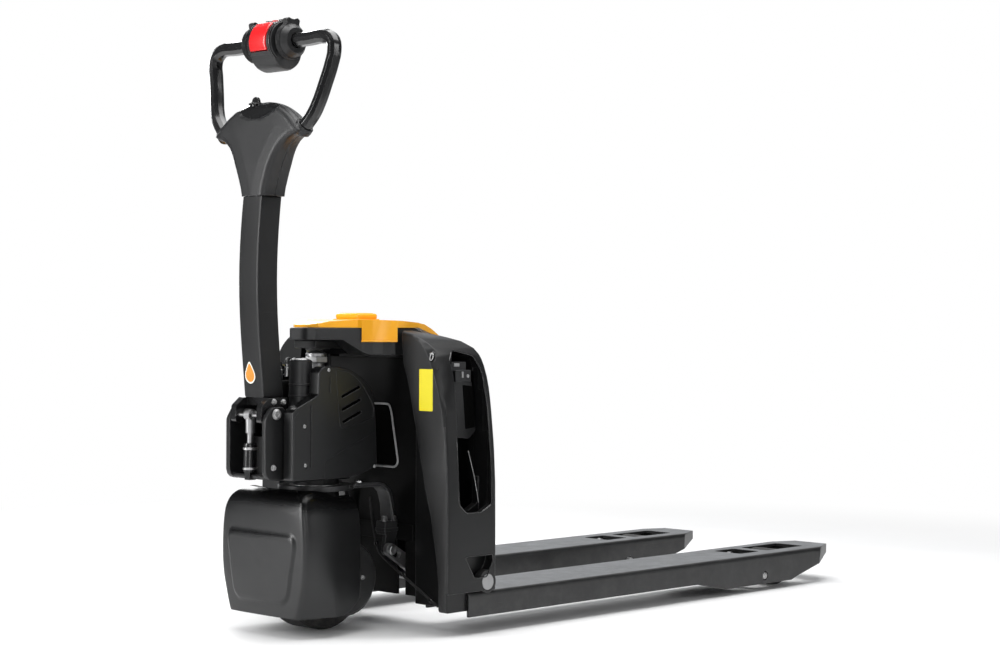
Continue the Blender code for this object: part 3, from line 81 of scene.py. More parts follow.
class Graph:
    """One material's node tree, with short calls for the nodes used here."""

    def __init__(self, name):
        self.mat = bpy.data.materials.new(name)
        self.mat.use_nodes = True
        self.tree = self.mat.node_tree
        self.tree.nodes.clear()
        self.out = self.node("ShaderNodeOutputMaterial")
        self.bsdf = self.node("ShaderNodeBsdfPrincipled")
        self.link(self.bsdf.outputs["BSDF"], self.out.inputs["Surface"])
        self.coord = self.node("ShaderNodeTexCoord").outputs["Object"]

    @cached_property
    def geometry(self):
        return self.node("ShaderNodeNewGeometry").outputs

    def node(self, kind, **settings):
        made = self.tree.nodes.new(kind)
        for key, value in settings.items():
            setattr(made, key, value)
        return made

    def link(self, source, target):
        """Feeds a socket from a number, a colour or vector, or another socket."""
        if isinstance(source, (int, float)):
            target.default_value = source
        elif isinstance(source, tuple):
            opaque = len(source) == 3 and len(target.default_value) == 4
            target.default_value = source + ((1.0,) if opaque else ())
        else:
            self.tree.links.new(source, target)

    def math(self, kind, a, b, clamp=False):
        made = self.node("ShaderNodeMath", operation=kind, use_clamp=clamp)
        self.link(a, made.inputs[0])
        self.link(b, made.inputs[1])
        return made.outputs[0]

    def times(self, a, b):
        return self.math("MULTIPLY", a, b)

    def vector(self, kind, a, b=(0.0, 0.0, 0.0)):
        made = self.node("ShaderNodeVectorMath", operation=kind)
        self.link(a, made.inputs[0])
        self.link(b, made.inputs[1])
        return made.outputs["Value" if kind in ("DOT_PRODUCT", "LENGTH") else "Vector"]

    def noise(self, scale, detail=3.0, rough=0.5, stretch=None, distort=0.0):
        made = self.node("ShaderNodeTexNoise")
        source = self.vector("MULTIPLY", self.coord, stretch) if stretch else self.coord
        self.link(source, made.inputs["Vector"])
        made.inputs["Scale"].default_value = scale
        made.inputs["Detail"].default_value = detail
        made.inputs["Roughness"].default_value = rough
        made.inputs["Distortion"].default_value = distort
        return made.outputs["Fac"]

    def ramp(self, value, low, high, start=0.0, end=1.0):
        """Eases from start to end while the value goes from low to high."""
        made = self.node("ShaderNodeMapRange", interpolation_type="SMOOTHSTEP")
        self.link(value, made.inputs["Value"])
        limits = {"From Min": low, "From Max": high, "To Min": start, "To Max": end}
        for key, number in limits.items():
            made.inputs[key].default_value = number
        return made.outputs["Result"]

    def mix(self, fac, a, b):
        made = self.node("ShaderNodeMix", data_type="RGBA")
        for index, source in ((0, fac), (6, a), (7, b)):
            self.link(source, made.inputs[index])
        return made.outputs[2]

    def rounded(self, radius):
        made = self.node("ShaderNodeBevel", samples=4)
        made.inputs["Radius"].default_value = radius
        return made.outputs["Normal"]

    def bump(self, height, normal, strength, distance):
        made = self.node("ShaderNodeBump")
        self.link(height, made.inputs["Height"])
        made.inputs["Strength"].default_value = strength
        made.inputs["Distance"].default_value = distance
        self.link(normal, made.inputs["Normal"])
        return made.outputs["Normal"]

    def edges(self, radius):
        """0 on a flat face, rising towards 1 at an outside or inside edge."""
        soft_normal = self.rounded(radius)
        facing = self.vector("DOT_PRODUCT", soft_normal, self.geometry["Normal"])
        return self.ramp(facing, low=0.995, high=0.86)

    def up(self):
        """1 on a face that looks straight up, 0 on a wall."""
        return self.vector("DOT_PRODUCT", self.geometry["Normal"], (0.0, 0.0, 1.0))

    def height(self):
        made = self.node("ShaderNodeSeparateXYZ")
        self.link(self.geometry["Position"], made.inputs[0])
        return made.outputs["Z"]

    def set(self, **values):
        """Feeds inputs of the main shader; an underscore stands for a space."""
        for key, value in values.items():
            self.link(value, self.bsdf.inputs[key.replace("_", " ")])
        return self.mat


def scaled(colour, factor, add=0.0):
    return tuple(min(1.0, c * factor + add) for c in colour)


DUST = (0.2, 0.195, 0.185)
# Near-black colour for faces that look up: painted shade.
ROOF_PAINTED_SHADE = (0.0012, 0.0012, 0.0013)


def coated(name, base, lift, rough, grain, grain_height, edge, edge_wear_and_highlight, dust,
           edge_radius=0.0016, scuffs=0.5, specular=0.5, coat=0.0, roof_shade=0.0):
    """A painted or moulded surface.

    lift brightens the mottling, grain is the scale of the fine bumps, dust and scuffs are the
    amounts of wear, edge is the amount of edge colour, partly wear and partly a painted highlight,
    coat is a clear layer, and the last one darkens faces that look up as painted shade.
    """
    g = Graph(name)
    mottle = g.noise(scale=7.0, detail=4.0, rough=0.6)
    fine = g.noise(scale=95.0, rough=0.6)
    lighter = scaled(base, lift)
    colour = g.mix(g.ramp(mottle, low=0.36, high=0.68), base, lighter)
    colour = g.mix(g.times(g.ramp(fine, low=0.45, high=0.75), 0.22), colour, lighter)
    # Rubbed edges, partly wear and partly a painted highlight, broken up by noise.
    rub_and_highlight = g.edges(edge_radius)
    patches = g.noise(scale=38.0, detail=4.0, rough=0.65)
    worn_and_highlit = g.times(rub_and_highlight, g.ramp(patches, low=0.34, high=0.66, start=0.25))
    worn_and_highlit = g.times(worn_and_highlit, edge)
    colour = g.mix(worn_and_highlit, colour, edge_wear_and_highlight)
    # Dust on faces that look up, and half as much in patches near the floor.
    top = g.ramp(g.up(), low=0.35, high=0.95)
    specks = g.noise(scale=22.0, detail=5.0, rough=0.7)
    settled = g.times(top, g.ramp(specks, low=0.3, high=0.75, start=0.25))
    settled = g.times(settled, dust)
    near_floor = g.ramp(g.height(), low=0.16, high=0.0)
    specks = g.noise(scale=30.0, detail=5.0, rough=0.7)
    low = g.times(near_floor, g.ramp(specks, low=0.35, high=0.8))
    settled = g.math("MAXIMUM", settled, g.times(low, dust * 0.5))
    colour = g.mix(settled, colour, DUST)
    # Upright streaks change the gloss; thin scratches along X show pale.
    streak = g.noise(scale=26.0, detail=5.0, rough=0.75, stretch=(1.0, 1.0, 0.22), distort=0.4)
    scratch = g.noise(scale=60.0, detail=2.0, rough=0.4, stretch=(0.25, 3.2, 5.0))
    scratch = g.times(g.ramp(scratch, low=0.7, high=0.76), 0.3 * scuffs)
    colour = g.mix(scratch, colour, scaled(base, 3.0, add=0.02))
    # Gloss: streaks swing it, dust dulls it, rubbing polishes it.
    swing = g.times(g.math("SUBTRACT", streak, 0.5), 0.22 * scuffs)
    roughness = g.math("ADD", rough, swing)
    roughness = g.math("ADD", roughness, g.times(settled, 0.35))
    roughness = g.math("SUBTRACT", roughness, g.times(worn_and_highlit, 0.06), clamp=True)
    normal = g.rounded(edge_radius)
    grains = g.noise(scale=grain, detail=2.0)
    normal = g.bump(grains, normal, strength=0.55, distance=grain_height)
    normal = g.bump(mottle, normal, strength=0.12, distance=0.0008)
    normal = g.bump(scratch, normal, strength=0.25, distance=0.00008)
    g.set(Base_Color=colour, Roughness=roughness, Normal=normal,
          Coat_Weight=coat, Coat_Roughness=0.12, Specular_IOR_Level=specular)
    if roof_shade:
        # Painted shade: faces that look up are glossier and darker than the walls.
        high = g.ramp(g.up(), low=0.12, high=0.62)
        shine = specular * roof_shade * 0.75
        g.set(
            Base_Color=g.mix(g.times(high, roof_shade), colour, ROOF_PAINTED_SHADE),
            Specular_IOR_Level=g.math("SUBTRACT", specular, g.times(high, shine)),
            Roughness=g.math("SUBTRACT", roughness, g.times(high, 0.14), clamp=True),
        )
    return g.mat


def metal(name, base, rough, lines):
    """Bare or plated steel: fine marks stretched by lines, clouded plating, softened edges."""
    g = Graph(name)
    cloud = g.noise(scale=60.0, detail=4.0, rough=0.6)
    marks = g.noise(scale=420.0, detail=2.0, stretch=lines)
    stain = g.times(g.ramp(cloud, low=0.42, high=0.75), 0.35)
    colour = g.mix(stain, base, scaled(base, 0.55))
    glints = g.times(g.ramp(marks, low=0.35, high=0.7), 0.25)
    colour = g.mix(glints, colour, scaled(base, 1.2))
    roughness = g.math("ADD", rough, g.times(g.math("SUBTRACT", marks, 0.5), 0.3))
    roughness = g.math("ADD", roughness, g.times(cloud, 0.1), clamp=True)
    normal = g.bump(marks, g.rounded(0.0008), strength=0.35, distance=0.00006)
    return g.set(Base_Color=colour, Roughness=roughness, Metallic=1.0, Normal=normal)


def tread(name):
    """Black polyurethane: dull, with dusty spots, fine flow lines and paler edges."""
    black, spotted = (0.018, 0.018, 0.019), (0.045, 0.044, 0.042)
    line_dust, edge_dust = (0.095, 0.09, 0.082), (0.12, 0.115, 0.105)
    g = Graph(name)
    spots = g.noise(scale=140.0, detail=4.0, rough=0.7)
    lines = g.noise(scale=30.0, rough=0.6, stretch=(0.6, 14.0, 0.6))
    colour = g.mix(g.ramp(spots, low=0.4, high=0.72), black, spotted)
    colour = g.mix(g.times(g.ramp(lines, low=0.45, high=0.8), 0.45), colour, line_dust)
    colour = g.mix(g.times(g.edges(0.002), 0.35), colour, edge_dust)
    roughness = g.math("ADD", 0.62, g.times(spots, 0.22), clamp=True)
    normal = g.bump(lines, g.rounded(0.0015), strength=0.4, distance=0.0003)
    normal = g.bump(spots, normal, strength=0.3, distance=0.0001)
    return g.set(Base_Color=colour, Roughness=roughness, Normal=normal)


PAINT = coated(
    "powder_black", base=(0.0044, 0.0045, 0.0048), lift=1.6, rough=0.38, specular=0.36,
    grain=620.0, grain_height=0.0001, dust=0.05,
    edge=0.85, edge_wear_and_highlight=(0.105, 0.105, 0.108), edge_radius=0.0022)
# A darker copy of the black paint for the front wall, which stands in shade: painted shade.
WALL_IN_SHADE = coated(
    "powder_black_painted_shade", base=(0.0016, 0.0016, 0.0017), lift=1.6, rough=0.5, specular=0.16,
    grain=620.0, grain_height=0.0001, dust=0.03,
    edge=0.6, edge_wear_and_highlight=(0.03, 0.03, 0.031), edge_radius=0.0018)
FORK = coated(
    "powder_black_forks", base=(0.006, 0.0061, 0.0065), lift=1.7, rough=0.33,
    grain=560.0, grain_height=0.00012, dust=0.2, scuffs=1.0,
    edge=0.85, edge_wear_and_highlight=(0.13, 0.13, 0.135), edge_radius=0.0026)
PLASTIC = coated(
    "charcoal_plastic", base=(0.0098, 0.01, 0.0106), lift=1.45, rough=0.42, specular=0.42,
    grain=1500.0, grain_height=0.00016, dust=0.05, scuffs=0.4,
    edge=0.7, edge_wear_and_highlight=(0.09, 0.09, 0.093), edge_radius=0.0014)
# The pod's faces that look up are darkened as painted shade.
POD = coated(
    "pod_plastic", base=(0.0082, 0.0084, 0.0088), lift=1.4, rough=0.34, specular=0.45,
    grain=1700.0, grain_height=0.00013, dust=0.0, scuffs=0.4, roof_shade=0.9,
    edge=0.65, edge_wear_and_highlight=(0.085, 0.085, 0.088), edge_radius=0.0018)
# Near-black painted shadow, for plates put where holes, slots and recesses are in shade.
PAINTED_SHADOW = coated(
    "shadow_black", base=(0.0006, 0.0006, 0.0006), lift=1.2, rough=0.8, specular=0.05,
    grain=900.0, grain_height=0.00005, dust=0.0, scuffs=0.0,
    edge=0.0, edge_wear_and_highlight=(0.001, 0.001, 0.001))
GLOSS = coated(
    "gloss_black", base=(0.0038, 0.0038, 0.0041), lift=1.5, rough=0.22, coat=0.35,
    grain=500.0, grain_height=0.00003, dust=0.02, scuffs=0.3,
    edge=0.3, edge_wear_and_highlight=(0.03, 0.03, 0.031))
ORANGE = coated(
    "orange_plastic", base=(0.95, 0.42, 0.012), lift=1.06, rough=0.3,
    grain=1300.0, grain_height=0.00008, dust=0.03, scuffs=0.35,
    edge=0.35, edge_wear_and_highlight=(0.98, 0.55, 0.12), edge_radius=0.0012)
RED = coated(
    "red_plastic", base=(0.66, 0.008, 0.011), lift=1.12, rough=0.3, coat=0.3,
    grain=1300.0, grain_height=0.00005, dust=0.02, scuffs=0.3,
    edge=0.25, edge_wear_and_highlight=(1.0, 0.14, 0.12))
CASTING = coated(
    "cast_black", base=(0.0075, 0.0076, 0.0079), lift=1.8, rough=0.46, specular=0.45,
    grain=260.0, grain_height=0.0004, dust=0.08, scuffs=0.9,
    edge=0.65, edge_wear_and_highlight=(0.085, 0.085, 0.085))
# A lighter copy of the black paint for the yoke, so it shows brighter: painted light.
YOKE_PAINTED_LIGHT = coated(
    "yoke_coat_painted_light", base=(0.02, 0.0202, 0.021), lift=1.5, rough=0.34, specular=0.55,
    grain=500.0, grain_height=0.0001, dust=0.06, scuffs=0.8,
    edge=0.9, edge_wear_and_highlight=(0.16, 0.16, 0.165), edge_radius=0.0014)
# Pale grey for the rolled lip round the front wall's opening: a painted highlight.
LIP_PAINTED_HIGHLIGHT = coated(
    "lip_painted_highlight", base=(0.3, 0.3, 0.302), lift=1.3, rough=0.3,
    grain=700.0, grain_height=0.00004, dust=0.1,
    edge=0.4, edge_wear_and_highlight=(0.35, 0.35, 0.35), edge_radius=0.0008)
FILM = coated(
    "yellow_film", base=(0.74, 0.63, 0.003), lift=1.06, rough=0.38,
    grain=900.0, grain_height=0.00002, dust=0.02, scuffs=0.3,
    edge=0.2, edge_wear_and_highlight=(1.0, 0.92, 0.25), edge_radius=0.0006)
STICKER = coated(
    "sticker_film", base=(0.82, 0.8, 0.74), lift=1.08, rough=0.36,
    grain=900.0, grain_height=0.00002, dust=0.03, scuffs=0.3,
    edge=0.2, edge_wear_and_highlight=(0.95, 0.94, 0.9), edge_radius=0.0004)
STICKER_ORANGE = coated(
    "sticker_orange", base=(0.62, 0.24, 0.02), lift=1.12, rough=0.36,
    grain=900.0, grain_height=0.00002, dust=0.03, scuffs=0.3,
    edge=0.2, edge_wear_and_highlight=(0.8, 0.4, 0.1), edge_radius=0.0004)
RUBBER = coated(
    "rubber_black", base=(0.008, 0.008, 0.0084), lift=1.6, rough=0.55,
    grain=800.0, grain_height=0.00012, dust=0.1,
    edge=0.3, edge_wear_and_highlight=(0.035, 0.035, 0.035), edge_radius=0.0008)
STEEL = metal("zinc_steel", base=(0.44, 0.44, 0.44), rough=0.38, lines=(1.0, 1.0, 6.0))
TURNED = metal("turned_steel", base=(0.36, 0.36, 0.365), rough=0.42, lines=(1.0, 9.0, 1.0))
TREAD = tread("polyurethane")

# Which finish each CAD body gets; every other body is STEEL.
FINISHES = (
    (FORK, "fork_left fork_right"),
    (YOKE_PAINTED_LIGHT, "yoke_bracket"),
    (WALL_IN_SHADE, "front_wall"),
    (PAINT, "side_arm_left side_arm_right heel_plate crosshead tiller_base tiller_tube"
            " lift_cylinder oil_tank"),
    (PLASTIC, "top_housing battery_case side_cover_left side_cover_right handle_shell_front"
              " handle_shell_back control_barrel throttle_left throttle_right pump_motor"),
    (POD, "drive_cover"),
    (GLOSS, "tiller_bracket handle_loop gas_spring_cylinder key_switch raise_button"
            " lower_button"),
    (ORANGE, "battery_lid battery_grip"),
    (RED, "belly_button horn_button"),
    (CASTING, "bogie_left bogie_right drive_bracket drive_motor gearbox drive_wheel_hub"
              " steering_column"),
    (TREAD, "load_wheel_left load_wheel_right drive_wheel_tyre"),
    (TURNED, "rocker_shaft bogie_pin_left bogie_pin_right lift_plunger gas_spring_rod"),
)
FINISH = {body: material for material, bodies in FINISHES for body in bodies.split()}


def shade(obj, angle=34.0):
    """Smooth shading across curved faces, with creases over the angle kept sharp."""
    if obj.data.attributes.get("custom_normal"):
        obj.data.attributes.remove(obj.data.attributes["custom_normal"])
    for polygon in obj.data.polygons:
        polygon.use_smooth = True
    weld = obj.modifiers.new("Weld", "WELD")
    weld.merge_threshold = 1e-5
    split = obj.modifiers.new("EdgeSplit", "EDGE_SPLIT")
    split.split_angle = math.radians(angle)
    split.use_edge_sharp = False
    even = obj.modifiers.new("WeightedNormal", "WEIGHTED_NORMAL")
    even.keep_sharp = True
    even.weight = 50


for node_name, node_obj in NODES.items():
    node_obj.data.materials.clear()
    node_obj.data.materials.append(FINISH.get(node_name, STEEL))
    shade(node_obj)


# ---------------------------------------------------------------- objects from meshes


def link_mesh(name, bm):
    mesh = bpy.data.meshes.new(name)
    bm.to_mesh(mesh)
    bm.free()
    obj = bpy.data.objects.new(name, mesh)
    scene.collection.objects.link(obj)
    return obj


def closed_object(name, bm):
    bmesh.ops.remove_doubles(bm, verts=bm.verts, dist=1e-6)
    bmesh.ops.recalc_face_normals(bm, faces=bm.faces)
    return link_mesh(name, bm)


def dress(obj, material, body, angle=34.0):
    """Shades a piece and hangs it on one CAD body; when body is a tuple, it bakes the piece in
    place and hangs it on nothing.
    """
    obj.data.materials.append(material)
    shade(obj, angle)
    if isinstance(body, tuple):
        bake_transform(obj)
    else:
        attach(obj, body)
    return obj


@contextmanager
def piece(name, material, body):
    """Gives an empty bmesh to fill and turns it into a dressed piece."""
    bm = bmesh.new()
    yield bm
    dress(closed_object(name, bm), material, body)


def carve(obj, cutters):
    """Cuts closed pieces out of one piece and keeps only the result."""
    for cutter in cutters:
        cut = obj.modifiers.new("cut", "BOOLEAN")
        cut.operation = "DIFFERENCE"
        cut.solver = "EXACT"
        cut.object = cutter
    bpy.context.view_layer.update()
    done = obj.evaluated_get(bpy.context.evaluated_depsgraph_get())
    mesh = bpy.data.meshes.new_from_object(done)
    old = obj.data
    obj.modifiers.clear()
    obj.data = mesh
    mesh.materials.clear()
    bpy.data.meshes.remove(old)
    for cutter in cutters:
        data = cutter.data
        bpy.data.objects.remove(cutter)
        bpy.data.meshes.remove(data)


# ---------------------------------------------------------------- shapes


def clamp(value):
    return max(0.0, min(1.0, value))


def smooth(value):
    """Eases from 0 to 1."""
    share = clamp(value)
    return share * share * (3 - 2 * share)


def look_up(table, value):
    """Straight-line reading of a two-column table."""
    for (a0, b0), (a1, b1) in zip(table, table[1:]):
        if value <= a1:
            return b0 + (b1 - b0) * (value - a0) / (a1 - a0)
    return table[-1][1]


def mirror(points, side):
    return [(x, side * y, z) for x, y, z in points]


def across_axes(axis):
    """The unit axis and two directions square to it."""
    axis = Vector(axis).normalized()
    helper = Vector((0.0, 0.0, 1.0) if abs(axis.z) < 0.9 else (1.0, 0.0, 0.0))
    side = axis.cross(helper).normalized()
    return axis, side, axis.cross(side)


def add_rings(bm, rings):
    """Skins a list of rings; a ring of one point closes an end."""
    made = [[bm.verts.new(p) for p in ring] for ring in rings]
    for low, high in zip(made, made[1:]):
        count = max(len(low), len(high))
        for k in range(count):
            j = (k + 1) % count
            corners = []
            for v in (low[k % len(low)], low[j % len(low)],
                      high[j % len(high)], high[k % len(high)]):
                if v not in corners:
                    corners.append(v)
            if len(corners) > 2:
                bm.faces.new(corners)
    for end in (made[0], made[-1]):
        if len(end) > 2:
            bm.faces.new(end)


def add_lathe(bm, place, axis, profile, sides=28, squash=(1.0, 1.0)):
    """Turns a profile of (radius, distance along the axis) round an axis."""
    axis, side, other = across_axes(axis)
    rings = []
    for radius, along in profile:
        centre = Vector(place) + axis * along
        if radius < 1e-7:
            rings.append([centre])
            continue
        ring = []
        for k in range(sides):
            angle = 2 * math.pi * k / sides
            ring.append(centre + side * (radius * squash[0] * math.cos(angle))
                        + other * (radius * squash[1] * math.sin(angle)))
        rings.append(ring)
    add_rings(bm, rings)


def add_bolt(bm, place, axis, across, height, washer=True, turn=0.2):
    """A hexagon head with a chamfered, dished crown, on a thin washer if wanted."""
    base = 0.0
    if washer:
        rim, face = across * 0.70, across * 0.66
        add_lathe(bm, place, axis, [(0.0, 0.0), (face, 0.0), (rim, 0.0004), (rim, 0.001),
                                    (face, 0.0014), (0.0, 0.0014)], 24)
        base = 0.0013
    axis, side, other = across_axes(axis)
    place = Vector(place)
    corner = across / 2 / math.cos(math.pi / 6)

    def ring(scale, along, flat=False):
        out = []
        for k in range(12):
            r = across / 2 if (k % 2 or flat) else corner
            a = turn + math.pi * k / 6
            out.append(place + axis * along
                       + (side * math.cos(a) + other * math.sin(a)) * r * scale)
        return out

    dish = base + height * 0.82
    add_rings(bm, [
        ring(1.0, base), ring(1.0, base + height * 0.78), ring(0.9, base + height, True),
        ring(0.55, base + height, True), ring(0.48, dish, True), [place + axis * dish]])


def curve_through(points, steps=8, closed=False):
    """A smooth path through points."""
    points = [Vector(p) for p in points]
    out = []
    count = len(points)
    for k in range(count if closed else count - 1):
        if closed:
            a, b = points[k - 1], points[k]
            c, d = points[(k + 1) % count], points[(k + 2) % count]
        else:
            a, b = points[max(k - 1, 0)], points[k]
            c, d = points[k + 1], points[min(k + 2, count - 1)]
        for s in range(steps):
            t = s / steps
            out.append(0.5 * ((2 * b) + (c - a) * t + (2 * a - 5 * b + 4 * c - d) * t * t
                              + (3 * b - a - 3 * c + d) * t ** 3))
    if not closed:
        out.append(points[-1])
    return out


def add_tube(bm, path, radius, sides=12, closed=False):
    """A round bar swept along a path of vectors, with tapered ends."""
    rings = []
    normal = None
    count = len(path)
    for k, point in enumerate(path):
        ahead = path[(k + 1) % count] if closed else path[min(k + 1, count - 1)]
        behind = path[k - 1] if closed else path[max(k - 1, 0)]
        way = (ahead - behind).normalized()
        if normal is None:
            normal = across_axes(way)[1]
        normal = (normal - way * normal.dot(way)).normalized()
        other = way.cross(normal)
        ring = []
        for j in range(sides):
            a = 2 * math.pi * j / sides
            ring.append(point + normal * (radius * math.cos(a)) + other * (radius * math.sin(a)))
        rings.append(ring)
    if closed:
        made = [[bm.verts.new(p) for p in ring] for ring in rings]
        for k in range(count):
            low, high = made[k], made[(k + 1) % count]
            for j in range(sides):
                i = (j + 1) % sides
                bm.faces.new((low[j], low[i], high[i], high[j]))
        return
    ends = []
    for ring, point, toward in ((rings[0], path[0], path[1]), (rings[-1], path[-1], path[-2])):
        out = (point - toward).normalized() * radius * 0.35
        ends.append([point + (p - point) * 0.72 + out for p in ring])
    add_rings(bm, [ends[0]] + rings + [ends[1]])


def add_plate(bm, outline, axis, lo, hi, edge=0.0, segments=2):
    """A flat plate with rounded rims. Outline: (y, z) for X, (x, z) for Y, (x, y) for Z."""

    def at(a, b, t):
        return {"X": (t, a, b), "Y": (a, t, b), "Z": (a, b, t)}[axis]

    low = [bm.verts.new(at(a, b, lo)) for a, b in outline]
    high = [bm.verts.new(at(a, b, hi)) for a, b in outline]
    count = len(outline)
    caps = [bm.faces.new(low), bm.faces.new(high)]
    walls = []
    for k in range(count):
        j = (k + 1) % count
        walls.append(bm.faces.new((low[k], low[j], high[j], high[k])))
    bmesh.ops.recalc_face_normals(bm, faces=caps + walls)
    if edge:
        rims = list({e for cap in caps for e in cap.edges})
        bmesh.ops.bevel(bm, geom=rims, offset=edge, segments=segments, profile=0.6,
                        affect="EDGES", clamp_overlap=True)


def add_side_plate(bm, outline, side, near, far, edge=0.0, segments=2):
    """A plate square to Y on one side, between two distances from the centre plane."""
    lo, hi = sorted((side * near, side * far))
    add_plate(bm, outline, "Y", lo, hi, edge, segments)


def add_side_box(bm, side, x_span, y_span, z_span, edge, segments=2):
    """A soft-edged box on one side; y_span is measured from the centre plane."""
    y_span = sorted(side * y for y in y_span)
    lo, hi = (Vector(corner) for corner in zip(x_span, y_span, z_span))
    made = bmesh.ops.create_cube(bm, size=1.0)["verts"]
    centre = (lo + hi) / 2
    size = hi - lo
    for v in made:
        v.co = centre + Vector((v.co.x * size.x, v.co.y * size.y, v.co.z * size.z))
    edges = list({e for v in made for e in v.link_edges})
    bmesh.ops.bevel(bm, geom=edges, offset=edge, segments=segments, profile=0.6,
                    affect="EDGES", clamp_overlap=True)


def soft(outline, radius, steps=4):
    """Rounds the corners of an outline, by one radius or one for each corner."""
    out = []
    count = len(outline)
    radii = radius if isinstance(radius, list) else [radius] * count
    for k in range(count):
        p, q, r = (Vector(outline[(k + d) % count]) for d in (-1, 0, 1))
        size = min(radii[k], (p - q).length * 0.49, (r - q).length * 0.49)
        if size < 1e-6:
            out.append((q.x, q.y))
            continue
        a, b = q + (p - q).normalized() * size, q + (r - q).normalized() * size
        for s in range(steps + 1):
            t = s / steps
            m = a * (1 - t) ** 2 + q * 2 * t * (1 - t) + b * t * t
            out.append((m.x, m.y))
    return out


# ---------------------------------------------------------------- drive cover

# Half outline from above (x, y), from the middle of the front to the rear end of the left side.
COVER_PLAN = [
    (-0.736, 0.0), (-0.7359, 0.03), (-0.7354, 0.06), (-0.7345, 0.088), (-0.7333, 0.108),
    (-0.7321, 0.119), (-0.73, 0.1236), (-0.7262, 0.1268), (-0.72, 0.1284), (-0.708, 0.129),
    (-0.685, 0.128), (-0.66, 0.125), (-0.63, 0.1198), (-0.602, 0.114), (-0.577, 0.1085),
]
# Stations up the cover: height, scale along X about the wheel axis, scale across.
COVER_LEVELS = [
    (0.039, 0.99, 0.79), (0.052, 0.992, 0.835), (0.08, 0.996, 0.905), (0.115, 1.0, 0.975),
    (0.155, 1.0, 1.0), (0.195, 1.0, 0.99), (0.22, 0.997, 0.97), (0.238, 0.988, 0.945),
    (0.252, 0.965, 0.908), (0.264, 0.92, 0.858), (0.273, 0.85, 0.785), (0.279, 0.745, 0.69),
]
PANEL_LOW, PANEL_HIGH = 0.066, 0.196
PANEL_HALF, PANEL_WIDENING = 0.079, 0.025  # half width at the bottom, and its gain at the top
PANEL_CORNER, PANEL_SLOPE, PANEL_RISE = 0.022, 0.0085, 0.0042
COLLAR_RADIUS = 0.0765


def pad_height(y, z):
    """How far the raised panel on the front of the drive cover stands out."""
    share = clamp((z - PANEL_LOW) / (PANEL_HIGH - PANEL_LOW))
    across = abs(y) - (PANEL_HALF + PANEL_WIDENING * share)
    up = abs(z - (PANEL_LOW + PANEL_HIGH) / 2) - (PANEL_HIGH - PANEL_LOW) / 2
    dx, dz = across + PANEL_CORNER, up + PANEL_CORNER
    gap = math.hypot(max(dx, 0.0), max(dz, 0.0)) + min(max(dx, dz), 0.0) - PANEL_CORNER
    return PANEL_RISE * smooth(0.5 - gap / PANEL_SLOPE)


def cover_point(x, y, z, along, across):
    """Moves a point of the plan to its place on the cover at one level."""
    rear = clamp((x + 0.64) / 0.063)
    # Below the shoulder the walls keep their full width towards the rear.
    fill = clamp((x + 0.735) / 0.08) * clamp((0.215 - z) / 0.03)
    wide = across + (1.0 - across) * fill
    # The lower edge rises at the rear and the roof falls towards it.
    rise = 0.03 * rear ** 2 * clamp((0.115 - z) / 0.076) ** 1.5
    drop = 0.014 * max(0.0, (z - 0.23) / 0.049) * clamp((x + 0.705) / 0.09)
    px = AXIS_X + (x - AXIS_X) * along
    if z > 0.275:
        px = min(px, AXIS_X + 0.02)
    out = pad_height(y * wide, z + rise) * clamp((-0.7255 - x) / 0.004)
    return px - out, y * wide, z + rise - drop


def drive_pod():
    half = curve_through(COVER_PLAN, 5)
    plan = [(x, -y) for x, y in reversed(half[1:])] + half
    # Extra columns over the flat front, so the panel's rim is round.
    dense = []
    for (x0, y0), (x1, y1) in zip(plan, plan[1:]):
        steps = 3 if max(abs(y0), abs(y1)) < 0.118 and x0 < -0.725 else 1
        for s in range(steps):
            t = s / steps
            dense.append((x0 + (x1 - x0) * t, y0 + (y1 - y0) * t))
    dense.append(plan[-1])
    bm = bmesh.new()
    rows = []
    for level in curve_through(COVER_LEVELS, 7):
        rows.append([bm.verts.new(cover_point(x, y, *level)) for x, y in dense])
    # The top row is part of a round collar about the wheel axis.
    count = len(dense) - 1
    collar = []
    for c in range(count + 1):
        s = -1 + 2 * c / count
        a = math.pi - s * math.radians(100)
        collar.append(bm.verts.new((AXIS_X + COLLAR_RADIUS * math.cos(a),
                                    COLLAR_RADIUS * math.sin(a), 0.27 - 0.008 * abs(s))))
    rows.append(collar)
    for low, high in zip(rows, rows[1:]):
        for a, b, c, d in zip(low, low[1:], high[1:], high):
            bm.faces.new((a, d, c, b))
    bm.normal_update()
    foremost = min(bm.faces, key=lambda f: f.calc_center_median().x)
    if foremost.normal.x > 0:
        bmesh.ops.reverse_faces(bm, faces=bm.faces)
    obj = link_mesh("drive_pod_skin", bm)
    obj.data.materials.append(POD)
    for polygon in obj.data.polygons:
        polygon.use_smooth = True
    wall = obj.modifiers.new("Solidify", "SOLIDIFY")
    wall.thickness = 0.0035
    wall.offset = -1.0
    wall.use_rim = True
    rim = obj.modifiers.new("Bevel", "BEVEL")
    rim.width = 0.001
    rim.segments = 2
    rim.limit_method = "ANGLE"
    rim.angle_limit = math.radians(60)
    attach(obj, "power_unit")
    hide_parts("drive_cover")


# ---------------------------------------------------------------- side covers

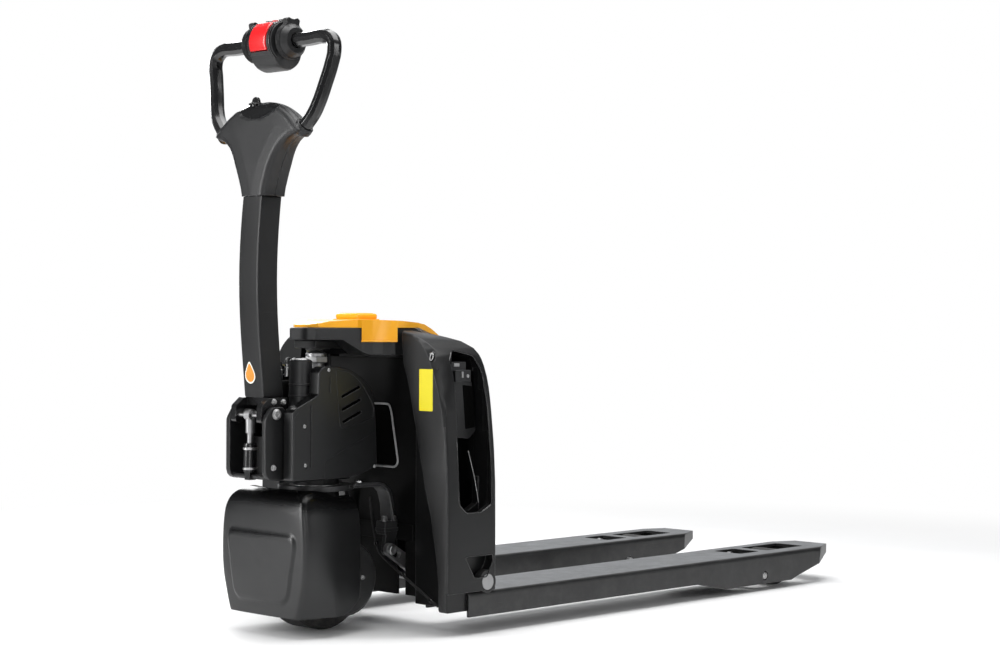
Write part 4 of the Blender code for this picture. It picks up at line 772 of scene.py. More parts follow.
# Outlines are (x, z); distances from the centre plane are named SIDE_...
SIDE_OUTER = 0.09
SIDE_OUTLINE = [
    (-0.7325, 0.299), (-0.7325, 0.429), (-0.726, 0.435), (-0.676, 0.457), (-0.6695, 0.462),
    (-0.668, 0.5055), (-0.6565, 0.515), (-0.6261, 0.515), (-0.5936, 0.51), (-0.5643, 0.4957),
    (-0.5383, 0.476), (-0.5271, 0.4592), (-0.5213, 0.4204), (-0.517, 0.3263), (-0.5215, 0.318),
    (-0.5558, 0.3048), (-0.59, 0.299),
]
SIDE_RADII = [
    0.004, 0.006, 0.006, 0.006, 0.006, 0.01, 0.01, 0.015, 0.015,
    0.015, 0.012, 0.012, 0.015, 0.008, 0.008, 0.015, 0.01,
]
HOLLOW_OUTLINE = [
    (-0.7255, 0.306), (-0.7255, 0.425), (-0.67, 0.449), (-0.662, 0.46), (-0.661, 0.5),
    (-0.653, 0.508), (-0.627, 0.508), (-0.596, 0.5035), (-0.569, 0.49), (-0.545, 0.471),
    (-0.5345, 0.456), (-0.5285, 0.42), (-0.5245, 0.33), (-0.56, 0.312), (-0.592, 0.306),
]
PRESS_OUTLINE = [
    (-0.6525, 0.292), (-0.6525, 0.333), (-0.608, 0.352), (-0.51, 0.39), (-0.5, 0.292),
]
# Centres of the two round ends of each slanted vent: x, z, x, z.
VENTS = (
    (-0.6084, 0.4563, -0.5651, 0.4743),
    (-0.6075, 0.4312, -0.5632, 0.4495),
    (-0.6061, 0.4072, -0.5625, 0.425),
)
VENT_RADIUS = 0.0029
VENT_PANEL = [
    (-0.6262, 0.508), (-0.595, 0.506), (-0.562, 0.485), (-0.533, 0.446),
    (-0.526, 0.427), (-0.53, 0.413), (-0.605, 0.394), (-0.615, 0.399),
]
VENT_PANEL_RADII = [0.004, 0.02, 0.025, 0.012, 0.012, 0.006, 0.006, 0.006]
VENT_SHADOW_PLATE = [(-0.622, 0.4), (-0.552, 0.418), (-0.552, 0.484), (-0.622, 0.468)]
# Upright ribs: x span, z span, how far out, corner radius and rim bevel.
COVER_RIBS = (
    ((-0.6886, -0.6864), (0.3226, 0.4414), 0.0918, 0.0007),
    ((-0.6406, -0.6386), (0.4641, 0.4948), 0.0914, 0.0006),
)
RIB_BAR = [
    (-0.7285, 0.0885, 0.302), (-0.7285, 0.089, 0.35), (-0.7285, 0.089, 0.412),
    (-0.7265, 0.0892, 0.4215), (-0.719, 0.0892, 0.429),
]
SEATED_SCREWS = ((-0.7035, 0.4019), (-0.7012, 0.3275))
PLAIN_SCREWS = ((-0.524, 0.318), (-0.6435, 0.508))
SCREW_PROFILE = [
    (0.0, 0.0), (0.0036, 0.0), (0.0036, 0.0009), (0.0029, 0.0019), (0.0017, 0.0023),
    (0.0014, 0.0012), (0.0, 0.0012),
]
SEAT_PROFILE = [
    (0.0, 0.0), (0.0062, 0.0), (0.0062, 0.0006), (0.0054, 0.0011), (0.0046, 0.0006),
    (0.0, 0.0006),
]


def side_plate_object(name, outline, side, near, far, edge=0.0, segments=2):
    bm = bmesh.new()
    add_side_plate(bm, outline, side, near, far, edge, segments)
    return closed_object(name, bm)


def slot_outline(x0, z0, x1, z1, radius):
    way = math.atan2(z1 - z0, x1 - x0)
    slot = []
    for x, z, start in ((x0, z0, way + math.pi / 2), (x1, z1, way - math.pi / 2)):
        for j in range(9):
            a = start + math.pi * j / 8
            slot.append((x + radius * math.cos(a), z + radius * math.sin(a)))
    return slot


def side_cover_skin(side, word):
    """The hollow cover with a pressed-in lower panel and slanted vents."""
    cover = side_plate_object(f"side_cover_skin_{word}", soft(SIDE_OUTLINE, SIDE_RADII, 6),
                              side, 0.062, SIDE_OUTER, 0.0045, 4)
    press = soft(PRESS_OUTLINE, [0, 0.006, 0.006, 0, 0])
    cutters = [
        side_plate_object("hollow", soft(HOLLOW_OUTLINE, 0.006, 3), side, 0.05, 0.0862),
        side_plate_object("press", press, side, 0.0893, 0.095),
    ]
    for k, vent in enumerate(VENTS):
        outline = slot_outline(*vent, VENT_RADIUS)
        cutters.append(side_plate_object(f"vent_{k}", outline, side, 0.08, 0.1))
    carve(cover, cutters)
    dress(cover, POD, "power_unit", 30.0)
    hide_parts(f"side_cover_{word}")


def side_cover_bits(side, word):
    """Raised line round the vents, a dark plate of painted shadow behind them, ribs and screws."""
    with piece(f"vent_panel_rim_{word}", POD, "power_unit") as bm:
        rim = soft(VENT_PANEL, VENT_PANEL_RADII, 5)
        line = [Vector((x, side * 0.0897, z)) for x, z in rim]
        add_tube(bm, line, 0.0008, sides=6, closed=True)
    # A dark plate behind the vents: painted shadow.
    with piece(f"vent_shadow_plate_{word}", PAINTED_SHADOW, "power_unit") as bm:
        add_side_plate(bm, soft(VENT_SHADOW_PLATE, 0.004, 3), side, 0.079, 0.084, 0.0008)
    with piece(f"cover_ribs_{word}", POD, "power_unit") as bm:
        for (x0, x1), (z0, z1), far, edge in COVER_RIBS:
            outline = soft([(x0, z0), (x1, z0), (x1, z1), (x0, z1)], 0.001, 3)
            add_side_plate(bm, outline, side, 0.089, far, edge)
        add_tube(bm, curve_through(mirror(RIB_BAR, side), 5), 0.0012, sides=8)
    with piece(f"cover_screws_{word}", STEEL, "power_unit") as bm:
        for x, z in SEATED_SCREWS + PLAIN_SCREWS:
            add_lathe(bm, (x, side * 0.0896, z), (0, side, 0), SCREW_PROFILE, 20)
    with piece(f"screw_seats_{word}", GLOSS, "power_unit") as bm:
        for x, z in SEATED_SCREWS:
            add_lathe(bm, (x, side * 0.0893, z), (0, side, 0), SEAT_PROFILE, 24)


# ---------------------------------------------------------------- drive wheel and yoke

# Bolt circles: name, body, count, circle radius, y, width across flats, head height, first angle.
BOLT_CIRCLES = (
    ("hub_bolts", "drive_wheel", 5, 0.052, 0.024, 0.008, 0.0035, 0.3),
    ("motor_bolts", "power_unit", 6, 0.032, 0.1026, 0.0065, 0.003, 0.0),
)


def wheel_bits():
    """Circles of bolts on the hub and the motor, facing left and right."""
    for name, body, count, radius, y, across, height, first in BOLT_CIRCLES:
        for side, word in SIDES:
            with piece(f"{name}_{word}", STEEL, body) as bm:
                for k in range(count):
                    a = 2 * math.pi * k / count + first
                    x, z = AXIS_X + radius * math.cos(a), WHEEL_Z + radius * math.sin(a)
                    add_bolt(bm, (x, side * y, z), (0, side, 0), across, height, turn=a)


# Upright screws: place on the left side, width across flats, head height, turn.
YOKE_SCREWS = (
    ((-0.48, 0.07, 0.2065), 0.0125, 0.0085, 0.3),
    ((-0.46, 0.074, 0.2065), 0.0125, 0.0085, 0.9),
    ((-0.548, 0.07, 0.2815), 0.013, 0.0075, 0.1),
)
YOKE_PIN_PROFILE = [
    (0.0, 0.0), (0.0088, 0.0), (0.0088, 0.003), (0.0078, 0.0042), (0.004, 0.0044),
    (0.0034, 0.0036), (0.0, 0.0036),
]
YOKE_RIM = [
    (-0.565, 0.0775, 0.2835), (-0.525, 0.079, 0.2835), (-0.495, 0.08, 0.28),
    (-0.479, 0.0805, 0.265), (-0.47, 0.0808, 0.235), (-0.464, 0.0808, 0.208),
]


def yoke_bits():
    """The lift yoke: screws, pin heads, round rim bars and clamp blocks."""
    for side, word in SIDES:
        with piece(f"yoke_screws_{word}", STEEL, "yoke") as bm:
            for (x, y, z), across, height, turn in YOKE_SCREWS:
                add_bolt(bm, (x, side * y, z), (0, 0, 1), across, height, turn=turn)
        with piece(f"yoke_pin_head_{word}", STEEL, "yoke") as bm:
            add_lathe(bm, (-0.479, side * 0.093, 0.15), (0, side, 0), YOKE_PIN_PROFILE, 24)
        with piece(f"yoke_rim_{word}", YOKE_PAINTED_LIGHT, "yoke") as bm:
            add_tube(bm, curve_through(mirror(YOKE_RIM, side), 7), 0.0026, sides=10)
        with piece(f"clamp_joint_{word}", YOKE_PAINTED_LIGHT, "yoke") as bm:
            add_side_box(bm, side, (-0.4885, -0.4515), (0.053, 0.0822), (0.186, 0.193), 0.001)


LEAD_PATH = [
    (-0.472, -0.02, 0.25), (-0.468, -0.023, 0.2), (-0.46, -0.029, 0.15), (-0.46, -0.046, 0.132),
    (-0.46, -0.1, 0.102), (-0.46, -0.15, 0.076), (-0.459, -0.19, 0.054), (-0.456, -0.2, 0.048),
]
CLIP_PROFILE = [
    (0.0, -0.003), (0.0038, -0.003), (0.0042, -0.002), (0.0042, 0.002), (0.0038, 0.003),
    (0.0, 0.003),
]


def cable():
    """A motor lead with three clips, from the drive unit down to the chassis."""
    path = curve_through(LEAD_PATH, 10)
    slack = ("yoke", "fork_frame", (-0.46, -0.05, 0.12), (-0.46, -0.19, 0.12))
    with piece("motor_lead", RUBBER, slack) as bm:
        add_tube(bm, path, 0.0027)
    with piece("lead_clips", GLOSS, slack) as bm:
        for k in (18, 40, 58):
            add_lathe(bm, path[k], path[k + 1] - path[k], CLIP_PROFILE, 16)


# ---------------------------------------------------------------- cylinder, pump and hoses

COLLAR_PROFILE = [
    (0.033, 0.0), (0.0355, 0.0), (0.0365, 0.001), (0.0365, 0.0065), (0.0355, 0.0075),
    (0.033, 0.0075),
]
WIPER_PROFILE = [
    (0.0172, 0.0), (0.0215, 0.0), (0.0222, 0.001), (0.0222, 0.004), (0.02, 0.0058),
    (0.0172, 0.0058),
]
PUMP_CAP_PROFILE = [(0.0, 0.0), (0.0165, 0.0), (0.0165, 0.0022), (0.015, 0.0034), (0.0, 0.0034)]
PUMP_BAND_PROFILE = [(0.0224, 0.0), (0.0236, 0.0008), (0.0236, 0.0032), (0.0224, 0.004)]
UNIONS = ((-0.685, -0.015, 0.515), (-0.68, 0.01, 0.51))
UNION_PROFILE = [
    (0.0, 0.0), (0.0042, 0.0), (0.0042, 0.016), (0.003, 0.018), (0.003, 0.024), (0.0, 0.024),
]
# Hoses: radius, path.
HOSES = (
    (0.0036, [(-0.685, -0.015, 0.512), (-0.683, -0.011, 0.523), (-0.67, 0.0, 0.528),
              (-0.652, 0.012, 0.522), (-0.648, 0.03, 0.5)]),
    (0.0032, [(-0.68, 0.01, 0.508), (-0.678, 0.016, 0.518), (-0.668, 0.026, 0.52),
              (-0.66, 0.033, 0.508), (-0.66, 0.033, 0.496)]),
)


def cylinder_bits():
    """Rings and nut on the lift cylinder."""
    with piece("cylinder_collar", CASTING, "power_unit") as bm:
        add_lathe(bm, (AXIS_X, 0, 0.493), (0, 0, 1), COLLAR_PROFILE, 36)
    with piece("plunger_nut", STEEL, "plunger") as bm:
        add_bolt(bm, (AXIS_X, 0, 0.521), (0, 0, 1), 0.042, 0.013, washer=False, turn=0.35)
    with piece("rod_wiper", RUBBER, "power_unit") as bm:
        add_lathe(bm, (AXIS_X, 0, 0.504), (0, 0, 1), WIPER_PROFILE, 32)


def pump_bits():
    """Cap and bands on the pump motor, unions and hoses beside it."""
    x, y = PUMP
    with piece("pump_cap", STEEL, "power_unit") as bm:
        add_lathe(bm, (x, y, 0.526), (0, 0, 1), PUMP_CAP_PROFILE)
        for k in range(3):
            a = 2 * math.pi * k / 3 + 0.5
            place = (x + 0.0125 * math.cos(a), y + 0.0125 * math.sin(a), 0.5285)
            add_bolt(bm, place, (0, 0, 1), 0.0042, 0.0026, washer=False, turn=a)
    with piece("pump_bands", PLASTIC, "power_unit") as bm:
        for k in range(5):
            add_lathe(bm, (x, y, 0.39 + 0.022 * k), (0, 0, 1), PUMP_BAND_PROFILE, 32)
    with piece("hose_unions", STEEL, "power_unit") as bm:
        for x, y, z in UNIONS:
            add_lathe(bm, (x, y, z - 0.02), (0, 0, 1), UNION_PROFILE, 16)
            add_bolt(bm, (x, y, z - 0.006), (0, 0, 1), 0.0095, 0.0045, washer=False)
    with piece("hoses", RUBBER, "power_unit") as bm:
        for radius, points in HOSES:
            add_tube(bm, curve_through(points), radius)


# ---------------------------------------------------------------- side arms

# Outer face of the side arm: height, distance from the centre plane.
ARM_FACE = [
    (0.0818, 0.2795), (0.2, 0.2795), (0.29, 0.2785), (0.352, 0.275), (0.4, 0.27),
    (0.452, 0.2635), (0.496, 0.254), (0.537, 0.235), (0.563, 0.208), (0.6, 0.17),
]
# Outlines on the side arm (x, z).
WINDOW = [
    (-0.4409, 0.546), (-0.399, 0.536), (-0.389, 0.506), (-0.3885, 0.4366), (-0.388, 0.331),
    (-0.3885, 0.248), (-0.4163, 0.2345), (-0.458, 0.2345), (-0.4776, 0.2519),
    (-0.479, 0.3612), (-0.468, 0.526), (-0.454, 0.542),
]
SHAFT_WINDOW = [
    (-0.462, 0.151), (-0.386, 0.151), (-0.386, 0.138), (-0.402, 0.108), (-0.436, 0.108),
]
WINDOW_STRIP = [
    (-0.46, 0.486), (-0.402, 0.486), (-0.39, 0.39), (-0.408, 0.374), (-0.45, 0.378),
    (-0.456, 0.4),
]
STRIP_SLOT_SHADOW = [(-0.427, 0.479), (-0.399, 0.476), (-0.393, 0.396), (-0.419, 0.393)]
RELEASE_ROD = [(-0.42, 0.245, 0.351), (-0.406, 0.248, 0.3), (-0.396, 0.25, 0.25)]
FILM_Y, FILM_Z = (0.1992, 0.2365), (0.43, 0.5105)
RING_Y, RING_Z = 0.236, 0.5345
RING_SEAT_PROFILE = [
    (0.0, 0.0), (0.01, 0.0), (0.0106, 0.0006), (0.01, 0.0014), (0.0086, 0.0014),
    (0.0076, 0.0006), (0.0, 0.0006),
]
RING_STUD_PROFILE = [(0.0, 0.0), (0.0022, 0.0), (0.0022, 0.0034), (0.0016, 0.0042), (0.0, 0.0042)]
BOSS_PROFILE = [
    (0.016, 0.0), (0.022, 0.0), (0.024, 0.003), (0.0235, 0.015), (0.0218, 0.0185),
    (0.018, 0.0192), (0.016, 0.018),
]


def arm_front(side, word):
    """Plain yellow film, and a key ring in its oval seat, on the arm's front face."""
    front = float(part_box(f"side_arm_{word}")[0][0])
    (y0, y1), (z0, z1) = FILM_Y, FILM_Z
    with piece(f"yellow_film_{word}", FILM, "fork_frame") as bm:
        outline = [(side * y0, z0), (side * y1, z0), (side * y1, z1), (side * y0, z1)]
        add_plate(bm, soft(outline, 0.0022), "X", front - 0.0006, front + 0.0002, 0.0002, 1)
    with piece(f"ring_seat_{word}", GLOSS, "fork_frame") as bm:
        add_lathe(bm, (front, side * RING_Y, RING_Z), (-1, 0, 0), RING_SEAT_PROFILE, 32,
                  squash=(0.85, 1.0))
    with piece(f"key_ring_{word}", STEEL, "fork_frame") as bm:
        loop = []
        for k in range(10):
            a = 2 * math.pi * k / 10
            y = side * (RING_Y + 0.0042 * math.cos(a) + 0.002 * math.sin(a))
            loop.append((front - 0.003, y, RING_Z + 0.0066 * math.sin(a)))
        add_tube(bm, curve_through(loop, 4, closed=True), 0.0011, sides=10, closed=True)
        stud = (front - 0.0002, side * 0.2345, 0.54)
        add_lathe(bm, stud, (-1, 0, 0), RING_STUD_PROFILE, 14)


def arm_windows(side, word):
    """Rolled lips round the two openings in the arm's outer face."""
    with piece(f"window_rim_{word}", GLOSS, "fork_frame") as bm:
        rim = [Vector((x, side * (look_up(ARM_FACE, z) - 0.0004), z))
               for x, z in soft(WINDOW, 0.006)]
        add_tube(bm, rim, 0.0017, sides=8, closed=True)
    with piece(f"shaft_window_rim_{word}", GLOSS, "fork_frame") as bm:
        rim = [Vector((x, side * 0.279, z)) for x, z in soft(SHAFT_WINDOW, 0.005)]
        add_tube(bm, rim, 0.0013, sides=8, closed=True)


def window_inside(side, word):
    """What shows through the window: strip and a slot of painted shadow, latch box and bolt, rod.
    """
    with piece(f"window_strip_{word}", PLASTIC, "fork_frame") as bm:
        add_side_plate(bm, soft(WINDOW_STRIP, 0.006), side, 0.233, 0.2356, 0.0008)
    # The slot is a dark plate on the strip: painted shadow.
    with piece(f"strip_slot_shadow_{word}", PAINTED_SHADOW, "fork_frame") as bm:
        add_side_plate(bm, soft(STRIP_SLOT_SHADOW, 0.003, 3), side, 0.2352, 0.2366, 0.0004, 1)
    with piece(f"latch_box_{word}", PLASTIC, "fork_frame") as bm:
        add_side_box(bm, side, (-0.45, -0.408), (0.228, 0.24), (0.485, 0.508), 0.002, 3)
        add_side_box(bm, side, (-0.456, -0.416), (0.226, 0.234), (0.506, 0.524), 0.0016)
    with piece(f"latch_bolt_{word}", STEEL, "fork_frame") as bm:
        add_side_box(bm, side, (-0.435, -0.43), (0.2395, 0.242), (0.493, 0.505), 0.0006)
        add_bolt(bm, (-0.418, side * 0.2398, 0.496), (0, side, 0), 0.006, 0.0025, washer=False)
        add_side_box(bm, side, (-0.45, -0.436), (0.2335, 0.2362), (0.515, 0.521), 0.0006)
    with piece(f"release_rod_{word}", STEEL, "fork_frame") as bm:
        add_tube(bm, [Vector(p) for p in mirror(RELEASE_ROD, side)], 0.0009, sides=8)


def shaft_boss(side, word):
    """The boss round the end of the rocker shaft."""
    with piece(f"shaft_boss_{word}", CASTING, "fork_frame") as bm:
        x, z = ROCKER
        add_lathe(bm, (x, side * 0.26, z), (0, side, 0), BOSS_PROFILE, 36)


def arm_bits():
    for side, word in SIDES:
        arm_front(side, word)
        arm_windows(side, word)
        window_inside(side, word)
        shaft_boss(side, word)


# ---------------------------------------------------------------- forks

FORK_Y = 0.198  # middle of a fork
PIN_REACH = 0.08  # from there to either end of the bogie pin
PIN_DISC_PROFILE = [
    (0.0, 0.0), (0.0072, 0.0), (0.0072, 0.0014), (0.006, 0.0022), (0.0026, 0.0022),
    (0.002, 0.0014), (0.0, 0.0014),
]


def fork_bits():
    """Discs on both ends of each bogie pin."""
    for side, word in SIDES:
        with piece(f"pin_discs_{word}", STEEL, "fork_frame") as bm:
            for face in (1, -1):
                place = (BOGIE[0], side * FORK_Y + face * PIN_REACH, BOGIE[1])
                add_lathe(bm, place, (0, face, 0), PIN_DISC_PROFILE, 24)


# ---------------------------------------------------------------- tiller

# Front face of the tiller tube (z, x).
TUBE_FRONT = ((0.456, -0.754), (0.54, -0.762), (0.641, -0.769), (0.736, -0.7685), (0.8392, -0.76))
STICKER_Z = (0.479, 0.523)
STICKER_RADIUS = 0.015
PIVOT_CLIP_PROFILE = [
    (0.0, 0.0), (0.0105, 0.0), (0.0105, 0.0016), (0.0098, 0.0024), (0.0085, 0.0024),
    (0.0085, 0.004), (0.0075, 0.005), (0.003, 0.005), (0.0024, 0.004), (0.0, 0.004),
]
# Bolts on both sides: name, body, y, places (x, z, turn).
TILLER_BOLTS = (
    ("bracket_bolts", "tiller", 0.0452, ((-0.719, 0.447, 0.4), (-0.742, 0.448, 0.1))),
    ("base_bolts", "power_unit", 0.0586,
     ((-0.754, 0.324, 0.3), (-0.721, 0.324, 0.8), (-0.721, 0.356, 0.5))),
)
SPRING_BAND_PROFILE = [(0.0128, 0.0), (0.014, 0.001), (0.014, 0.004), (0.0128, 0.005)]


def tube_front(z):
    """The x of the tube's front face at a height, on one polynomial through the stations."""
    total = 0.0
    for i, (zi, xi) in enumerate(TUBE_FRONT):
        weight = 1.0
        for j, (zj, _) in enumerate(TUBE_FRONT):
            if j != i:
                weight *= (z - zj) / (zi - zj)
        total += weight * xi
    return total


def drop_sticker():
    """A drop-shaped sticker of two layers on the front of the tube, which leans a little."""
    low, high = (Vector((tube_front(z), 0.0, z)) for z in STICKER_Z)
    up = (high - low).normalized()
    out = Vector((-up.z, 0.0, up.x))
    centre = (low + high) / 2 + out * 0.0002 + Vector((0.0, 0.006, 0.0))
    count = 40
    shape = []
    for k in range(count):
        a = 2 * math.pi * k / count
        y, z = STICKER_RADIUS * math.sin(a), STICKER_RADIUS * math.cos(a) - 0.004
        if math.cos(a) > 0:
            # The upper half is drawn up to a point.
            z += 0.012 * math.cos(a) ** 4
            y *= 1.0 - 0.25 * math.cos(a) ** 4
        shape.append((y, z))
    for word, material, scale, lift in (
        ("outer", STICKER, 1.0, 0.0004), ("inner", STICKER_ORANGE, 0.84, 0.0006),
    ):
        with piece(f"drop_sticker_{word}", material, "tiller") as bm:
            base = [bm.verts.new(centre + Vector((0, y * scale, 0)) + up * (z * scale))
                    for y, z in shape]
            top = [bm.verts.new(v.co + out * lift) for v in base]
            bm.faces.new(base)
            bm.faces.new(top)
            for k in range(count):
                j = (k + 1) % count
                bm.faces.new((base[k], base[j], top[j], top[k]))


def tiller_bits():
    """Pivot clips, bolts, and the gas spring's nut and bands."""
    with piece("pivot_clips", STEEL, "power_unit") as bm:
        for side, _ in SIDES:
            place = (PIVOT[0], side * 0.0588, PIVOT[1])
            add_lathe(bm, place, (0, side, 0), PIVOT_CLIP_PROFILE)
    for name, body, y, places in TILLER_BOLTS:
        with piece(name, STEEL, body) as bm:
            for side, _ in SIDES:
                for x, z, turn in places:
                    add_bolt(bm, (x, side * y, z), (0, side, 0), 0.0085, 0.0035, turn=turn)
    with piece("spring_lock_nut", STEEL, "spring_rod") as bm:
        add_bolt(bm, (SPRING_X, 0, 0.34), (0, 0, 1), 0.017, 0.008, washer=False)
    with piece("spring_bands", STEEL, "spring_cylinder") as bm:
        for z in (0.318, 0.356):
            add_lathe(bm, (SPRING_X, 0, z), (0, 0, 1), SPRING_BAND_PROFILE)


# ---------------------------------------------------------------- handle

# Left half of the handle's outline (y, z): up its side, and along its top from the middle.
HANDLE_FOOT_Z = 0.8398
SHOULDER = (0.1285, 0.959)
HANDLE_SIDE = [
    (0.036, HANDLE_FOOT_Z), (0.039, 0.854), (0.044, 0.868), (0.05, 0.884), (0.057, 0.9),
    (0.065, 0.915), (0.074, 0.928), (0.085, 0.939), (0.096, 0.946), (0.106, 0.95),
    (0.115, 0.952), SHOULDER,
]
HANDLE_TOP = [
    (0.0, 1.0185), (0.03, 1.0178), (0.06, 1.01), (0.086, 0.9965), (0.1035, 0.9835),
    (0.116, 0.9715), SHOULDER,
]
HANDLE_ROWS, HANDLE_COLUMNS = 44, 56
RIM_RADIUS = 0.013


def edge_distance(point, spans):
    """Distance from a point to the nearest span of an outline."""
    best = 1.0
    for start, end in spans:
        way = end - start
        share = clamp((point - start).dot(way) / way.length_squared)
        best = min(best, (start + way * share - point).length_squared)
    return math.sqrt(best)


def handle_grid(side_path, top_path):
    """Rows of (y, z) that fill the outline, closer together towards its rim."""
    wide, shoulder_z = SHOULDER
    lengths = [0.0]
    for a, b in zip(side_path, side_path[1:]):
        lengths.append(lengths[-1] + (b - a).length)
    grid = []
    for r in range(HANDLE_ROWS + 1):
        want = lengths[-1] * (1 - (1 - r / HANDLE_ROWS) ** 1.25)
        k = max(i for i, length in enumerate(lengths) if length <= want + 1e-9)
        k = min(k, len(lengths) - 2)
        t = (want - lengths[k]) / (lengths[k + 1] - lengths[k])
        here = side_path[k].lerp(side_path[k + 1], t)
        row = []
        for c in range(HANDLE_COLUMNS + 1):
            u = -1 + 2 * c / HANDLE_COLUMNS
            s = math.sin(u * math.pi / 2) * 0.72 + u * 0.28
            top = look_up(top_path, min(wide, abs(s) * wide))
            stretch = (top - HANDLE_FOOT_Z) / (shoulder_z - HANDLE_FOOT_Z)
            row.append((s * here.x, HANDLE_FOOT_Z + (here.y - HANDLE_FOOT_Z) * stretch))
        grid.append(row)
    return grid


def handle_relief(y, z, depth, front):
    """Height of the face over the joint plane, and how far a point lies in the recess."""
    t = clamp((z - 0.9) / 0.13)
    full = (0.0312 - 0.0155 * t) if front else (0.0308 - 0.013 * t)
    gap = max(0.0, RIM_RADIUS - depth)
    roll = RIM_RADIUS - math.sqrt(RIM_RADIUS ** 2 - gap ** 2)
    dome = 0.0016 * min(1.0, depth / 0.035)
    high = full - 0.0016 + dome - roll * 0.85
    sunk = 0.0
    if front:
        line = 0.9865 + 5.0 * (y - 0.004) ** 2
        sunk = smooth((z - line) / 0.0035 + 0.5)
        high -= 0.0042 * sunk
    return max(high, 0.004), sunk


def handle_skin(front):
    """One handle shell: a domed face with a round rim; the front one has a gloss recess on top."""
    rows, columns = HANDLE_ROWS, HANDLE_COLUMNS
    facing = -1 if front else 1
    side_path = curve_through(HANDLE_SIDE, 4)
    top_path = curve_through(HANDLE_TOP, 6)
    half = side_path + top_path[::-1]
    edge = half + [Vector((-y, z)) for y, z in reversed(half)]
    spans = [(a, b) for a, b in zip(edge, edge[1:]) if (a - b).length > 1e-6]
    grid = handle_grid(side_path, top_path)
    bm = bmesh.new()
    face_rows, flat_rows = [], []
    sunk = {}
    for r, row in enumerate(grid):
        face_row = []
        for c, (y, z) in enumerate(row):
            depth = edge_distance(Vector((y, z)), spans)
            high, sunk[r, c] = handle_relief(y, z, depth, front)
            face_row.append(bm.verts.new((HANDLE_X + facing * high, y, z)))
        face_rows.append(face_row)
        flat_rows.append([bm.verts.new((HANDLE_X + facing * 0.0004, y, z)) for y, z in row])
    for r in range(rows):
        for c in range(columns):
            made = bm.faces.new((face_rows[r][c], face_rows[r][c + 1],
                                 face_rows[r + 1][c + 1], face_rows[r + 1][c]))
            if sum(sunk[r + i, c + j] for i in (0, 1) for j in (0, 1)) > 3.2:
                made.material_index = 1
            bm.faces.new((flat_rows[r][c], flat_rows[r + 1][c],
                          flat_rows[r + 1][c + 1], flat_rows[r][c + 1]))
    ring = [(0, c) for c in range(columns)] + [(r, columns) for r in range(rows)]
    ring += [(rows, c) for c in range(columns, 0, -1)] + [(r, 0) for r in range(rows, 0, -1)]
    # The rim steps in next to the joint between the two shells.
    step_out, step_in = [], []
    for r, c in ring:
        y, z = grid[r][c]
        middle = Vector((0.0, 0.92 if abs(y) < 0.05 else 0.965))
        inward = (middle - Vector((y, z))).normalized() * 0.0011
        step_out.append(bm.verts.new((HANDLE_X + facing * 0.0016, y, z)))
        step_in.append(bm.verts.new((HANDLE_X + facing * 0.0012, y + inward.x, z + inward.y)))
    bands = ([face_rows[r][c] for r, c in ring], step_out, step_in,
             [flat_rows[r][c] for r, c in ring])
    for k in range(len(ring)):
        j = (k + 1) % len(ring)
        for upper, lower in zip(bands, bands[1:]):
            bm.faces.new((upper[k], upper[j], lower[j], lower[k]))
    word = "front" if front else "back"
    obj = dress(closed_object(f"handle_skin_{word}", bm), PLASTIC, "tiller", 28.0)
    if front:
        obj.data.materials.append(GLOSS)
    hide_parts(f"handle_shell_{word}")


SOCKET_PROFILE = [
    (0.0146, 0.0), (0.018, 0.0), (0.0186, 0.006), (0.018, 0.0125), (0.0172, 0.014),
    (0.0152, 0.0144), (0.0146, 0.013),
]
HEAD_BAND_PROFILE = [(0.04, -0.0006), (0.0412, -0.0004), (0.0412, 0.0004), (0.04, 0.0006)]
HEAD_SCREW_PROFILE = [
    (0.0, 0.0), (0.0026, 0.0), (0.0026, 0.0009), (0.0014, 0.0013), (0.0011, 0.0004),
    (0.0, 0.0004),
]
KEY_PROFILE = [
    (0.0, 0.0), (0.0085, 0.0), (0.0085, 0.01), (0.0106, 0.012), (0.0108, 0.0195),
    (0.01, 0.0212), (0.0, 0.0216),
]
KEY_COLLAR_PROFILE = [
    (0.0116, 0.0), (0.015, 0.0), (0.0156, 0.001), (0.0148, 0.0026), (0.0126, 0.003),
    (0.0116, 0.0022),
]
BLADE_RADIUS = 0.0098
LAMPS = ((-0.018, 1.01), (0.056, 1.004))  # y, z
LAMP_PROFILE = [(0.0, 0.0), (0.0045, 0.0), (0.0045, 0.0016), (0.0036, 0.0024), (0.0, 0.0026)]


